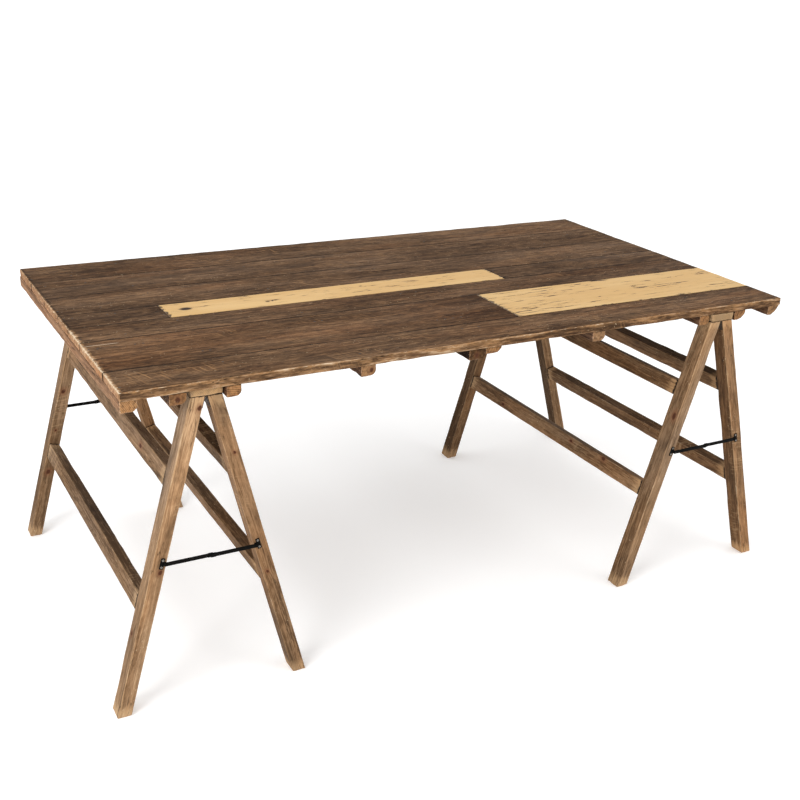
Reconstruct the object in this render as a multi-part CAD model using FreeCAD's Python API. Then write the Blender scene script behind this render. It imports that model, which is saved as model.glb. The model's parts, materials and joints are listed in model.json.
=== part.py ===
import FreeCAD, Part
import math
import os

# A trestle table: a loose plank top on two folding A-shaped trestles.
# X runs along the table, Y across it (the near side is -Y), Z up from the floor.
# The origin lies on the floor under the middle of the table. All lengths are in millimetres.

# Overall sizes
top_length = 1786.0
top_depth = 986.0
table_height = 780.0
foot_overhang = 42.0
rest_gap = 0.3

# Planks of the top
plank_thickness = 20.0
plank_seam = 0.5
plank_row_width_shares = (0.129, 0.201, 0.109, 0.104, 0.150, 0.152, 0.155)
wide_joint_share = 0.577

# Battens under the planks
batten_width = 38.0
batten_depth = 27.0
batten_end_inset = 4.0
batten_chamfer = 11.0
batten_edge_break = 2.0
inner_flank_width = 34.0
outer_channel_gap = 9.0
inner_channel_gap = 2.0
middle_batten_width = 44.0
cleat_width = 45.0
cleat_depth = 17.0
cleat_gap = 0.5
mid_left_batten_share = 0.311
middle_batten_share = 0.4686
mid_right_batten_share = 0.6646

# Nails through the planks
nail_length = 34.0
nail_radius = 1.2
nail_head_radius = 3.0
nail_head_height = 1.0
nail_fit = 0.05
nail_batten_share = 0.25
nail_plank_share = 0.25

# Trestle frames
left_foot_spread = 456.0
right_foot_spread = 491.0
trestle_setback = 9.0
trestle_depth = top_depth - 2 * trestle_setback
trestle_shift = 9.0
leg_thickness = 32.0
leg_depth = 44.0
cap_thickness = 18.0
cap_side_overhang = 1.8
cap_end_overhang = 4.0

# Rails between the legs, each height measured up the leg from its foot to the rail's underside
outer_lower_rail_rise = 250.0
outer_upper_rail_rise = 548.0
inner_lower_rail_rise = 260.0
inner_upper_rail_rise = 553.0
rail_height = 41.0
rail_inset = 1.5
tenon_thickness = 14.0
tenon_length = 20.0
tenon_shoulder = 6.0
tenon_fit = 0.2
mortise_end_gap = 1.0

# Butt hinges between the leg tops
hinge_width = 38.0
knuckle_count = 3
leaf_length = 28.0
leaf_thickness = 1.5
knuckle_radius = 2.6
knuckle_side_gap = 0.3
knuckle_top_gap = 0.9
knuckle_end_gap = 0.3
hinge_pin_radius = 1.1
pin_fit = 0.05
leaf_screw_places_shares = ((-0.3, 0.36), (0.3, 0.36), (0.0, 0.76))

# Folding stays
left_stay_drop = 386.0
right_stay_drop = 368.0
pivot_inset = 4.0
plate_inset = 6.5
plate_width = 9.0
plate_height = 26.0
plate_thickness = 2.0
plate_screw_spacing = 17.0
tongue_radius = 4.5
arm_width = 8.5
arm_thickness = 2.0
arm_eye_radius = 4.5
arm_middle_eye_radius = 5.5
stay_gap = 0.3
rivet_radius = 2.0
rivet_head_radius = 3.5
rivet_head_height = 1.2
spacer_radius = 4.0

# Countersunk screws
screw_head_radius = 2.8
screw_head_height = 1.4
screw_radius = 1.4
screw_tip = 2.5
screw_fit = 0.05
leaf_screw_length = 12.0
plate_screw_length = 18.0
cap_screw_length = 45.0
cap_screw_place_share = 0.6
cap_screw_row_share = 0.25

# Derived sizes
plank_underside = table_height - plank_thickness
cap_top = plank_underside - rest_gap
leg_top = cap_top - cap_thickness
fold_half_gap = knuckle_radius + knuckle_side_gap
hinge_drop = knuckle_radius + knuckle_top_gap
hinge_height = leg_top - hinge_drop
leg_outer_face = fold_half_gap + leg_thickness
pivot_face = fold_half_gap + pivot_inset
arm_layer = plate_thickness + stay_gap
second_arm_layer = arm_layer + arm_thickness + stay_gap

ORIGIN = FreeCAD.Vector(0, 0, 0)
X_AXIS = FreeCAD.Vector(1, 0, 0)
Y_AXIS = FreeCAD.Vector(0, 1, 0)
Z_AXIS = FreeCAD.Vector(0, 0, 1)


# Plain shapes
def box(x_range, y_range, z_range):
    """Block between three pairs of coordinates, each given in any order."""
    lows = [min(pair) for pair in (x_range, y_range, z_range)]
    sizes = [abs(pair[1] - pair[0]) for pair in (x_range, y_range, z_range)]
    return Part.makeBox(sizes[0], sizes[1], sizes[2], FreeCAD.Vector(*lows))


def prism(outline, y_range):
    """Solid over an outline of (x, z) points, between two Y coordinates."""
    low = min(y_range)
    corners = [FreeCAD.Vector(x, low, z) for x, z in outline]
    face = Part.Face(Part.makePolygon(corners + corners[:1]))
    return face.extrude(Y_AXIS * abs(y_range[1] - y_range[0]))


def rod(radius, start, end):
    """Round bar between two points."""
    axis = end - start
    return Part.makeCylinder(radius, axis.Length, start, axis)


def turned(profile, start, direction):
    """Solid turned from (radius, depth) points, its depth running along a direction."""
    corners = [FreeCAD.Vector(radius, 0, depth) for radius, depth in profile]
    face = Part.Face(Part.makePolygon(corners + corners[:1]))
    solid = face.revolve(ORIGIN, Z_AXIS, 360)
    solid.Placement = FreeCAD.Placement(start, FreeCAD.Rotation(Z_AXIS, direction))
    return solid


def screw(length, start, direction, fit=0.0):
    """Countersunk screw with its head flush at the start point, or with a fit its pilot hole."""
    shank = screw_radius + fit
    profile = (
        (0, 0),
        (screw_head_radius + fit, 0),
        (shank, screw_head_height),
        (shank, length - screw_tip),
        (0, length + fit),
    )
    return turned(profile, start, direction)


def nail(start, fit=0.0):
    """Nail driven straight down with its head flush, or with a fit the hole that it fills."""
    head = nail_head_radius + fit
    shank = nail_radius + fit
    neck = nail_head_height + fit
    end = nail_length + fit
    profile = ((0, 0), (head, 0), (head, neck), (shank, neck), (shank, end), (0, end))
    return turned(profile, start, -Z_AXIS)


def save(name, solids):
    """Write one node as its own STEP file."""
    shape = solids[0] if len(solids) == 1 else Part.Compound(solids)
    shape.exportStep(f"parts/{name}.step")


# Geometry of one trestle
class Trestle:
    """One folding trestle: places along it, its splay, and the poses of its two frames."""

    def __init__(self, name, side, foot_spread, shift, stay_drop):
        self.name = name
        self.side = side
        self.stay_drop = stay_drop
        half_spread = foot_spread / 2
        reach = math.hypot(half_spread, hinge_height)
        lean = math.atan2(hinge_height, half_spread)
        self.splay = math.acos(leg_outer_face / reach) - lean
        self.x = side * (top_length / 2 + foot_overhang - half_spread)
        self.near_face = shift - trestle_depth / 2
        self.far_face = shift + trestle_depth / 2
        self.cap_half_width = self.spread_at(leg_outer_face, leg_top) + cap_side_overhang

    def height_up_leg(self, depth, height):
        """Distance up the leg from the hinge at which the plane at a depth meets a height."""
        return (height - hinge_height - depth * math.sin(self.splay)) / math.cos(self.splay)

    def spread_at(self, depth, height):
        """Distance outwards from the trestle's middle of the plane at a depth, at a height."""
        up = self.height_up_leg(depth, height)
        return depth * math.cos(self.splay) - up * math.sin(self.splay)

    def stand(self, shape, outward):
        """Move a shape from the frame's own axes (depth, Y, up the leg) to its open place."""
        placed = shape.copy()
        placed.rotate(ORIGIN, Y_AXIS, -math.degrees(self.splay))
        if outward * self.side < 0:
            placed = placed.mirror(ORIGIN, X_AXIS)
        placed.translate(FreeCAD.Vector(self.x, 0, hinge_height))
        return placed

    def leg_rows(self):
        """Outer face, inner face and outward sense along Y of the near and the far legs."""
        return {
            "near": (self.near_face, self.near_face + leg_depth, -1),
            "far": (self.far_face, self.far_face - leg_depth, 1),
        }

    def pivot(self, outward):
        """Place in X and Z of a stay's pivot on the outer (1) or the inner (-1) frame."""
        up = -self.stay_drop
        spread = pivot_face * math.cos(self.splay) - up * math.sin(self.splay)
        height = hinge_height + up * math.cos(self.splay) + pivot_face * math.sin(self.splay)
        return self.x + outward * self.side * spread, height


# Frames, in the frame's own axes until they stand
def leg(trestle, top_height, faces):
    """Leg with its top and its foot cut level."""
    outline = [
        (depth, trestle.height_up_leg(depth, height))
        for depth, height in (
            (fold_half_gap, 0),
            (leg_outer_face, 0),
            (leg_outer_face, top_height),
            (fold_half_gap, top_height),
        )
    ]
    return prism(outline, faces)


def rail(trestle, rise):
    """Rail with a stub tenon at each end."""
    foot = trestle.height_up_leg(leg_outer_face, 0)
    low = foot + rise
    high = low + rail_height
    rows = trestle.leg_rows()
    near = rows["near"][1]
    far = rows["far"][1]
    body = box((fold_half_gap + rail_inset, leg_outer_face - rail_inset), (near, far), (low, high))
    middle = fold_half_gap + leg_thickness / 2
    tenon = box(
        (middle - tenon_thickness / 2, middle + tenon_thickness / 2),
        (near - tenon_length, far + tenon_length),
        (low + tenon_shoulder, high - tenon_shoulder),
    )
    return body.fuse(tenon).removeSplitter()


def mortises(trestle, rise):
    """Pockets in both legs for the tenons of one rail."""
    low = trestle.height_up_leg(leg_outer_face, 0) + rise
    middle = fold_half_gap + leg_thickness / 2
    half = tenon_thickness / 2 + tenon_fit
    rows = trestle.leg_rows()
    reach = tenon_length + mortise_end_gap
    return box(
        (middle - half, middle + half),
        (rows["near"][1] - reach, rows["far"][1] + reach),
        (low + tenon_shoulder - tenon_fit, low + rail_height - tenon_shoulder + tenon_fit),
    )


# Hinges
def knuckle_spans(middle):
    """Y spans of a hinge's knuckles."""
    step = hinge_width / knuckle_count
    start = middle - hinge_width / 2
    spans = []
    for turn in range(knuckle_count):
        low = start + turn * step
        spans.append((low + knuckle_end_gap / 2, low + step - knuckle_end_gap / 2))
    return spans


def hinge_leaf(middle, first_knuckle):
    """Leaf on a leg's inner face, with every second knuckle round the pin from the first one on."""
    face = (fold_half_gap - leaf_thickness, fold_half_gap)
    foot = -leaf_length
    leaf_span = (middle - hinge_width / 2, middle + hinge_width / 2)
    leaf = box(face, leaf_span, (foot, -fold_half_gap))
    spans = knuckle_spans(middle)
    for low, high in spans[first_knuckle::2]:
        neck = box(face, (low, high), (-fold_half_gap, 0))
        start = FreeCAD.Vector(0, low, 0)
        end = FreeCAD.Vector(0, high, 0)
        roll = rod(knuckle_radius, start, end)
        leaf = leaf.fuse(neck).fuse(roll)
    start = FreeCAD.Vector(0, leaf_span[0], 0)
    end = FreeCAD.Vector(0, leaf_span[1], 0)
    leaf = leaf.cut(rod(hinge_pin_radius + pin_fit, start, end))
    for hole in leaf_screws(middle, screw_fit):
        leaf = leaf.cut(hole)
    return leaf.removeSplitter()


def hinge_pin(middle):
    """Pin through the knuckles of a hinge."""
    start = FreeCAD.Vector(0, middle - hinge_width / 2, 0)
    end = FreeCAD.Vector(0, middle + hinge_width / 2, 0)
    return rod(hinge_pin_radius, start, end)


def leaf_screws(middle, fit=0.0):
    """Screws of one leaf, or with a fit their holes."""
    face = fold_half_gap - leaf_thickness
    return [
        screw(
            leaf_screw_length,
            FreeCAD.Vector(face, middle + across * hinge_width, -down * leaf_length),
            X_AXIS,
            fit,
        )
        for across, down in leaf_screw_places_shares
    ]


# Stays
def stay_plate(trestle, face, sense):
    """T-shaped plate on a leg's outer side, with a tongue that carries the pivot."""
    outer = face + sense * plate_thickness
    up = -trestle.stay_drop
    start = fold_half_gap + plate_inset
    bar = box(
        (start, start + plate_width),
        (face, outer),
        (up - plate_height / 2, up + plate_height / 2),
    )
    tongue = box((pivot_face, start), (face, outer), (up - tongue_radius, up + tongue_radius))
    eye = rod(
        tongue_radius,
        FreeCAD.Vector(pivot_face, face, up),
        FreeCAD.Vector(pivot_face, outer, up),
    )
    plate = bar.fuse(tongue).fuse(eye)
    hole = rod(
        rivet_radius + pin_fit,
        FreeCAD.Vector(pivot_face, face, up),
        FreeCAD.Vector(pivot_face, outer, up),
    )
    plate = plate.cut(hole)
    for cutter in plate_screws(trestle, face, sense, screw_fit):
        plate = plate.cut(cutter)
    return plate.removeSplitter()


def plate_screws(trestle, face, sense, fit=0.0):
    """Screws of one stay plate, or with a fit their holes."""
    outer = face + sense * plate_thickness
    across = fold_half_gap + plate_inset + plate_width / 2
    return [
        screw(
            plate_screw_length,
            FreeCAD.Vector(across, outer, -trestle.stay_drop + place * plate_screw_spacing / 2),
            Y_AXIS * -sense,
            fit,
        )
        for place in (-1, 1)
    ]


def pivot_rivet(trestle, face, sense, layer):
    """Rivet from a stay plate through one arm, with a spacer under an arm in the second layer."""
    up = -trestle.stay_drop

    def at(height):
        return FreeCAD.Vector(pivot_face, face + sense * height, up)

    head_start = layer + arm_thickness + stay_gap
    rivet = rod(rivet_radius, at(0), at(head_start + rivet_head_height))
    rivet = rivet.fuse(rod(rivet_head_radius, at(head_start), at(head_start + rivet_head_height)))
    if layer > arm_layer:
        rivet = rivet.fuse(rod(spacer_radius, at(plate_thickness), at(layer - stay_gap)))
    return rivet.removeSplitter()


def stay_arm(trestle, outward, face, sense, layer):
    """Flat arm from a frame's pivot to the stay's middle, straight when the trestle is open."""
    pivot_x, height = trestle.pivot(outward)
    inner = face + sense * layer
    outer = inner + sense * arm_thickness
    arm = box(
        (pivot_x, trestle.x),
        (inner, outer),
        (height - arm_width / 2, height + arm_width / 2),
    )
    for x, radius in ((pivot_x, arm_eye_radius), (trestle.x, arm_middle_eye_radius)):
        start = FreeCAD.Vector(x, inner, height)
        end = FreeCAD.Vector(x, outer, height)
        arm = arm.fuse(rod(radius, start, end))
    for x in (pivot_x, trestle.x):
        start = FreeCAD.Vector(x, inner, height)
        end = FreeCAD.Vector(x, outer, height)
        arm = arm.cut(rod(rivet_radius + pin_fit, start, end))
    return arm.removeSplitter()


def middle_rivet(trestle, face, sense, layer, head_sense):
    """Half of the middle rivet: a shank in one arm, with a head on that arm's free side."""
    height = trestle.pivot(1)[1]

    def at(level):
        return FreeCAD.Vector(trestle.x, face + sense * level, height)

    shank = rod(rivet_radius, at(layer), at(layer + arm_thickness))
    head_start = layer + arm_thickness if head_sense > 0 else layer
    head_end = head_start + head_sense * rivet_head_height
    return shank.fuse(rod(rivet_head_radius, at(head_start), at(head_end))).removeSplitter()


# Cap
def cap_screws(trestle, fit=0.0):
    """Screws down through the cap into the outer legs, or with a fit their holes."""
    depth = fold_half_gap + cap_screw_place_share * leg_thickness
    x = trestle.x + trestle.side * trestle.spread_at(depth, leg_top)
    places = []
    for outer, inner, _sense in trestle.leg_rows().values():
        middle = (outer + inner) / 2
        for row in (-1, 1):
            places.append(middle + row * cap_screw_row_share * leg_depth)
    return [screw(cap_screw_length, FreeCAD.Vector(x, y, cap_top), -Z_AXIS, fit) for y in places]


def cap_board(trestle):
    """Ridge board that lies on the leg tops."""
    board = box(
        (trestle.x - trestle.cap_half_width, trestle.x + trestle.cap_half_width),
        (trestle.near_face - cap_end_overhang, trestle.far_face + cap_end_overhang),
        (leg_top, cap_top),
    )
    for hole in cap_screws(trestle, screw_fit):
        board = board.cut(hole)
    return board


# Whole trestle
def build_trestle(trestle):
    """Write every node of one trestle."""
    frames = {
        "outer": (1, leg_top, outer_lower_rail_rise, outer_upper_rail_rise, arm_layer),
        "inner": (-1, leg_top - rest_gap, inner_lower_rail_rise, inner_upper_rail_rise,
                  second_arm_layer),
    }
    save(f"{trestle.name}_cap_board", [cap_board(trestle)])
    for frame, (outward, top, low_rise, high_rise, layer) in frames.items():
        first_knuckle = 0 if frame == "outer" else 1
        leaves = []
        brackets = []
        screws = []
        for row, (outer, inner, sense) in trestle.leg_rows().items():
            middle = (outer + inner) / 2
            post = leg(trestle, top, (outer, inner))
            for rise in (low_rise, high_rise):
                post = post.cut(mortises(trestle, rise))
            holes = leaf_screws(middle, screw_fit) + plate_screws(trestle, outer, sense, screw_fit)
            for hole in holes:
                post = post.cut(hole)
            post = trestle.stand(post, outward)
            if frame == "outer":
                for hole in cap_screws(trestle, screw_fit):
                    post = post.cut(hole)
            save(f"{trestle.name}_{frame}_{row}_leg", [post])
            leaves.append(trestle.stand(hinge_leaf(middle, first_knuckle), outward))
            if frame == "outer":
                leaves.append(trestle.stand(hinge_pin(middle), outward))
            brackets.append(trestle.stand(stay_plate(trestle, outer, sense), outward))
            brackets.append(trestle.stand(pivot_rivet(trestle, outer, sense, layer), outward))
            for fastener in leaf_screws(middle) + plate_screws(trestle, outer, sense):
                screws.append(trestle.stand(fastener, outward))
            arm = stay_arm(trestle, outward, outer, sense, layer)
            rivet = middle_rivet(trestle, outer, sense, layer, -outward)
            save(f"{trestle.name}_{row}_{frame}_stay_arm", [arm, rivet])
        for level, rise in (("lower", low_rise), ("upper", high_rise)):
            bar = trestle.stand(rail(trestle, rise), outward)
            save(f"{trestle.name}_{frame}_{level}_rail", [bar])
        if frame == "outer":
            screws += cap_screws(trestle)
            save(f"{trestle.name}_outer_hinge_leaves_and_pins", leaves)
        else:
            save(f"{trestle.name}_inner_hinge_leaves", leaves)
        save(f"{trestle.name}_{frame}_stay_brackets", brackets)
        save(f"{trestle.name}_{frame}_screws", screws)


# Table top
def batten_places(trestles):
    """Left edge, width and depth of every batten, by name."""
    half = top_length / 2
    places = {
        "left_end_batten": (-half, batten_width, batten_depth),
        "right_end_batten": (half - batten_width, batten_width, batten_depth),
    }
    for trestle in trestles:
        outer_edge = trestle.x + trestle.side * (trestle.cap_half_width + outer_channel_gap)
        inner_edge = trestle.x - trestle.side * (trestle.cap_half_width + inner_channel_gap)
        outer_start = min(outer_edge, outer_edge + trestle.side * batten_width)
        inner_start = min(inner_edge, inner_edge - trestle.side * inner_flank_width)
        places[f"{trestle.name}_outer_flank_batten"] = (outer_start, batten_width, batten_depth)
        places[f"{trestle.name}_inner_flank_batten"] = (inner_start, inner_flank_width, batten_depth)
    for name, share, width in (
        ("mid_left_batten", mid_left_batten_share, batten_width),
        ("middle_batten", middle_batten_share, middle_batten_width),
        ("mid_right_batten", mid_right_batten_share, batten_width),
    ):
        places[name] = (share * top_length - half - width / 2, width, batten_depth)
    start, width, _depth = places["middle_batten"]
    places["middle_cleat"] = (start + width + cleat_gap, cleat_width, cleat_depth)
    return places


def centre_of(place):
    """Middle of a batten along X."""
    return place[0] + place[1] / 2


def plank_rows(places):
    """Y span of each row of planks, its butt joints along X, and the names of its planks."""
    names = (
        ("front_plank",),
        ("front_wide_plank", "painted_wide_plank"),
        ("middle_plank",),
        ("short_left_plank", "painted_narrow_plank", "long_right_plank"),
        ("back_inner_plank",),
        ("back_centre_plank",),
        ("back_edge_plank",),
    )
    narrow_joints = [centre_of(places[name]) for name in ("left_inner_flank_batten", "mid_right_batten")]
    joints = {1: [wide_joint_share * top_length - top_length / 2], 3: narrow_joints}
    rows = []
    start = -top_depth / 2
    for index, share in enumerate(plank_row_width_shares):
        end = start + share * top_depth
        rows.append(((start, end), joints.get(index, []), names[index]))
        start = end
    return rows


def nail_places(rows, places):
    """Nails at each crossing of a row and a batten, on both sides of the batten in jointed rows."""
    spots = []
    for row_index, (span, joints, _names) in enumerate(rows):
        for batten_index, place in enumerate(places.values()):
            middle = centre_of(place)
            stagger = 1 if (row_index + batten_index) % 2 else -1
            sides = (-1, 1) if joints else (stagger,)
            for side in sides:
                y = (span[0] + span[1]) / 2 + stagger * nail_plank_share * (span[1] - span[0])
                spots.append((middle + side * nail_batten_share * place[1], y))
    return spots


def batten(place):
    """Batten with one lower edge cut back, as the ends show it."""
    left, width, depth = place
    right = left + width
    low = plank_underside - depth
    outline = (
        (left, plank_underside),
        (left, low + batten_edge_break),
        (left + batten_edge_break, low),
        (right - batten_chamfer, low),
        (right, low + batten_chamfer),
        (right, plank_underside),
    )
    end = top_depth / 2 - batten_end_inset
    return prism(outline, (-end, end))


def drilled(solid, spots):
    """Solid with the holes of the nails that stand in it."""
    bounds = solid.BoundBox
    for x, y in spots:
        if bounds.XMin < x < bounds.XMax and bounds.YMin < y < bounds.YMax:
            solid = solid.cut(nail(FreeCAD.Vector(x, y, table_height), nail_fit))
    return solid


def build_top(trestles):
    """Write the planks, the battens and their nails."""
    places = batten_places(trestles)
    rows = plank_rows(places)
    spots = nail_places(rows, places)
    for name, place in places.items():
        save(name, [drilled(batten(place), spots)])
    half = top_length / 2
    for index, (span, joints, names) in enumerate(rows):
        ends = [-half] + joints + [half]
        low = span[0] if index == 0 else span[0] + plank_seam / 2
        high = span[1] if index == len(rows) - 1 else span[1] - plank_seam / 2
        for turn, name in enumerate(names):
            left = ends[turn] if turn == 0 else ends[turn] + plank_seam / 2
            right = ends[turn + 1] if turn == len(names) - 1 else ends[turn + 1] - plank_seam / 2
            plank = box((left, right), (low, high), (plank_underside, table_height))
            save(name, [drilled(plank, spots)])
    save("plank_nails", [nail(FreeCAD.Vector(x, y, table_height)) for x, y in spots])


def main():
    """Build the whole table."""
    os.makedirs("parts", exist_ok=True)
    trestles = [
        Trestle("left", -1, left_foot_spread, trestle_shift, left_stay_drop),
        Trestle("right", 1, right_foot_spread, -trestle_shift, right_stay_drop),
    ]
    build_top(trestles)
    for trestle in trestles:
        build_trestle(trestle)


main()
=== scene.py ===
import json
import logging
import math
from dataclasses import dataclass, field
from enum import Enum
from itertools import count
from typing import Optional, Union

import bmesh
import bpy
from mathutils import Matrix, Vector, noise


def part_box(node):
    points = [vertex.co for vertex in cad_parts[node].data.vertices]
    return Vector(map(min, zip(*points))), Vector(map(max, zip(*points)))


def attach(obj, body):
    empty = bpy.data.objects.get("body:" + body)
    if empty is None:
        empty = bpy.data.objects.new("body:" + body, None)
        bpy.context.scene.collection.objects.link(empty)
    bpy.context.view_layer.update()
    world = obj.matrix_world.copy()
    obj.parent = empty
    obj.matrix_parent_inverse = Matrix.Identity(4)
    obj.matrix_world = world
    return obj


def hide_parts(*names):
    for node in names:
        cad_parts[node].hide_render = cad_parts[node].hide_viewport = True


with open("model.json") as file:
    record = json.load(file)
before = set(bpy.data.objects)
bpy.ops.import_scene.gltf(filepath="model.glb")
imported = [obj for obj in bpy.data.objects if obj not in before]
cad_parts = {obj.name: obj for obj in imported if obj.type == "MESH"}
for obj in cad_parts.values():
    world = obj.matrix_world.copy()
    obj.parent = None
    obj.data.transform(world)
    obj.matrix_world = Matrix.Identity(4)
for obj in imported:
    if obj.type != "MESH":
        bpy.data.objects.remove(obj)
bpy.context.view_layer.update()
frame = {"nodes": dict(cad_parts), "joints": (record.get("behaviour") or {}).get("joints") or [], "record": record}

LOG = logging.getLogger("trestle_table")
MM = 0.001
WELD = 1e-6
DISC_SIDES = 24

Socket = bpy.types.NodeSocket
Feed = Union[float, tuple, Socket]
Mesh = bmesh.types.BMesh
Colour = tuple[float, float, float]
Span = tuple[float, float]


def shade(red: float, green: float, blue: float) -> Colour:
    """Turn a colour as a screen shows it into the linear one that a shader takes.

    Args:
        red: red from 0 to 255.
        green: green from 0 to 255.
        blue: blue from 0 to 255.

    Returns:
        The linear colour.
    """
    def linear(level: float) -> float:
        """Linear value of one channel, by the usual curve of screens."""
        part = level / 255
        return part / 12.92 if part <= 0.04045 else ((part + 0.055) / 1.055) ** 2.4

    return linear(red), linear(green), linear(blue)


# Shader nodes
@dataclass(frozen=True)
class Cloud:
    """A noise in the wood: its cells per metre on each axis, and its finer layers."""

    scale: Feed
    detail: float = 3.0
    roughness: float = 0.55

    middle = 0.5


class Web:
    """Adds shader nodes to one tree and joins them."""

    def __init__(self, tree: bpy.types.NodeTree) -> None:
        """Work on this tree."""
        self.tree = tree

    def feed(self, socket: Socket, value: Feed) -> None:
        """Join a socket to another one, or give it a fixed value.

        Args:
            socket: the input.
            value: the output that feeds it, or its value.
        """
        if isinstance(value, bpy.types.NodeSocket):
            self.tree.links.new(value, socket)
        elif socket.type == "RGBA" and len(value) == 3:
            socket.default_value = (*value, 1.0)
        else:
            socket.default_value = value

    def add(self, kind: str, feeds: Optional[dict] = None, **settings: object) -> bpy.types.Node:
        """Add a node.

        Args:
            kind: the node's type.
            feeds: what feeds its inputs, by their names or numbers.
            **settings: its properties.

        Returns:
            The node.
        """
        node = self.tree.nodes.new(kind)
        for name, value in settings.items():
            setattr(node, name, value)
        for key, value in (feeds or {}).items():
            self.feed(node.inputs[key], value)
        return node

    def math(self, operation: str, first: Feed, second: Feed = 0.0, clamp: bool = False) -> Socket:
        """One value from two, kept from 0 to 1 where clamp says so."""
        feeds = {0: first, 1: second}
        return self.add("ShaderNodeMath", feeds, operation=operation, use_clamp=clamp).outputs[0]

    def plus(self, first: Feed, second: Feed) -> Socket:
        """Sum of two values."""
        return self.math("ADD", first, second)

    def minus(self, first: Feed, second: Feed) -> Socket:
        """First value less the second one."""
        return self.math("SUBTRACT", first, second)

    def times(self, first: Feed, second: Feed, clamp: bool = False) -> Socket:
        """Product of two values, kept from 0 to 1 where clamp says so."""
        return self.math("MULTIPLY", first, second, clamp)

    def swing(self, value: Feed, waves: Socket, amount: Feed) -> Socket:
        """A value with a noise added that swings both ways about its middle, by this amount in all."""
        return self.plus(value, self.times(self.minus(waves, Cloud.middle), amount))

    def vector(self, operation: str, first: Feed, second: Feed) -> Socket:
        """One vector from two."""
        return self.add("ShaderNodeVectorMath", {0: first, 1: second}, operation=operation).outputs[0]

    def grow(self, vector: Feed, factor: Feed) -> Socket:
        """Product of a vector and one value."""
        return self.add("ShaderNodeVectorMath", {0: vector, "Scale": factor}, operation="SCALE").outputs[0]

    def length(self, vector: Feed) -> Socket:
        """Length of a vector."""
        return self.add("ShaderNodeVectorMath", {0: vector}, operation="LENGTH").outputs["Value"]

    def join(self, x: Feed, y: Feed, z: Feed) -> Socket:
        """Vector of three values."""
        return self.add("ShaderNodeCombineXYZ", {0: x, 1: y, 2: z}).outputs[0]

    def split(self, vector: Socket) -> list[Socket]:
        """X, Y and Z of a vector."""
        return list(self.add("ShaderNodeSeparateXYZ", {0: vector}).outputs)

    def level(self, value: Socket) -> Socket:
        """Grey colour of one value."""
        return self.add("ShaderNodeCombineColor", {0: value, 1: value, 2: value}).outputs[0]

    def attribute(self, name: str) -> bpy.types.Node:
        """Node that reads an attribute of the piece's mesh."""
        return self.add("ShaderNodeAttribute", attribute_type="GEOMETRY", attribute_name=name)

    def cloud(self, place: Feed, kind: Cloud) -> Socket:
        """Noise from 0 to 1.

        Args:
            place: the point, in metres.
            kind: scale and layers of the noise.

        Returns:
            The value.
        """
        feeds = {
            "Vector": self.vector("MULTIPLY", place, kind.scale), "Scale": 1.0,
            "Detail": kind.detail, "Roughness": kind.roughness,
        }
        return self.add("ShaderNodeTexNoise", feeds, noise_dimensions="3D").outputs["Fac"]

    def span(self, value: Feed, low: float, high: float, start: float = 0.0, end: float = 1.0) -> Socket:
        """Turn a span of values smoothly into another one, and hold it beyond its ends."""
        feeds = {"Value": value, "From Min": low, "From Max": high, "To Min": start, "To Max": end}
        return self.add("ShaderNodeMapRange", feeds, interpolation_type="SMOOTHSTEP").outputs["Result"]

    def blend(self, factor: Feed, first: Feed, second: Feed, mode: str = "MIX") -> Socket:
        """Mix of two colours, with this share of the second one."""
        feeds = {0: factor, 6: first, 7: second}
        return self.add("ShaderNodeMix", feeds, data_type="RGBA", blend_type=mode).outputs[2]

    def layers(self, colour: Feed, *coats: tuple) -> Socket:
        """Lay colours over a first one, one after the other.

        Args:
            colour: the first colour.
            *coats: for each its share, its colour, and how it acts where that is no plain mix.

        Returns:
            The colour in the end.
        """
        for factor, coat, *mode in coats:
            colour = self.blend(factor, colour, coat, *mode)
        return colour


FLOAT = "NodeSocketFloat"
VECTOR = "NodeSocketVector"
ORIGIN = (0.0, 0.0, 0.0)
FAR_OFF = (9.0, 9.0, 9.0)


class Effect:
    """An effect that several finishes use: a node group that is built once."""

    title = "effect"
    takes: tuple[tuple[str, str, Feed], ...] = ()
    gives: tuple[str, ...] = ()
    built: dict[str, bpy.types.NodeTree] = {}

    def weave(self, web: Web, take: dict[str, Socket]) -> dict[str, Socket]:
        """Add the nodes of the group, and give what feeds each output by name."""
        raise NotImplementedError

    def tree(self) -> bpy.types.NodeTree:
        """Build the node group at its first use.

        Returns:
            The group.
        """
        if self.title not in self.built:
            tree = bpy.data.node_groups.new(self.title, "ShaderNodeTree")
            for name, kind, value in self.takes:
                socket = tree.interface.new_socket(name=name, in_out="INPUT", socket_type=kind)
                socket.default_value = value
            for name in self.gives:
                tree.interface.new_socket(name=name, in_out="OUTPUT", socket_type=FLOAT)
            web = Web(tree)
            entry = web.add("NodeGroupInput")
            leave = web.add("NodeGroupOutput")
            made = self.weave(web, {name: entry.outputs[name] for name, _kind, _value in self.takes})
            for name, socket in made.items():
                web.feed(leave.inputs[name], socket)
            self.built[self.title] = tree
        return self.built[self.title]

    def place(self, web: Web, **values: Feed) -> dict[str, Socket]:
        """Put the group in a material with its own values.

        Args:
            web: the material's tree.
            **values: the group's inputs, with an underscore for each space in a name.

        Returns:
            The group's outputs by name.
        """
        node = web.add("ShaderNodeGroup", node_tree=self.tree())
        for name, value in values.items():
            web.feed(node.inputs[name.replace("_", " ")], value)
        return {name: node.outputs[name] for name in self.gives}


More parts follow.
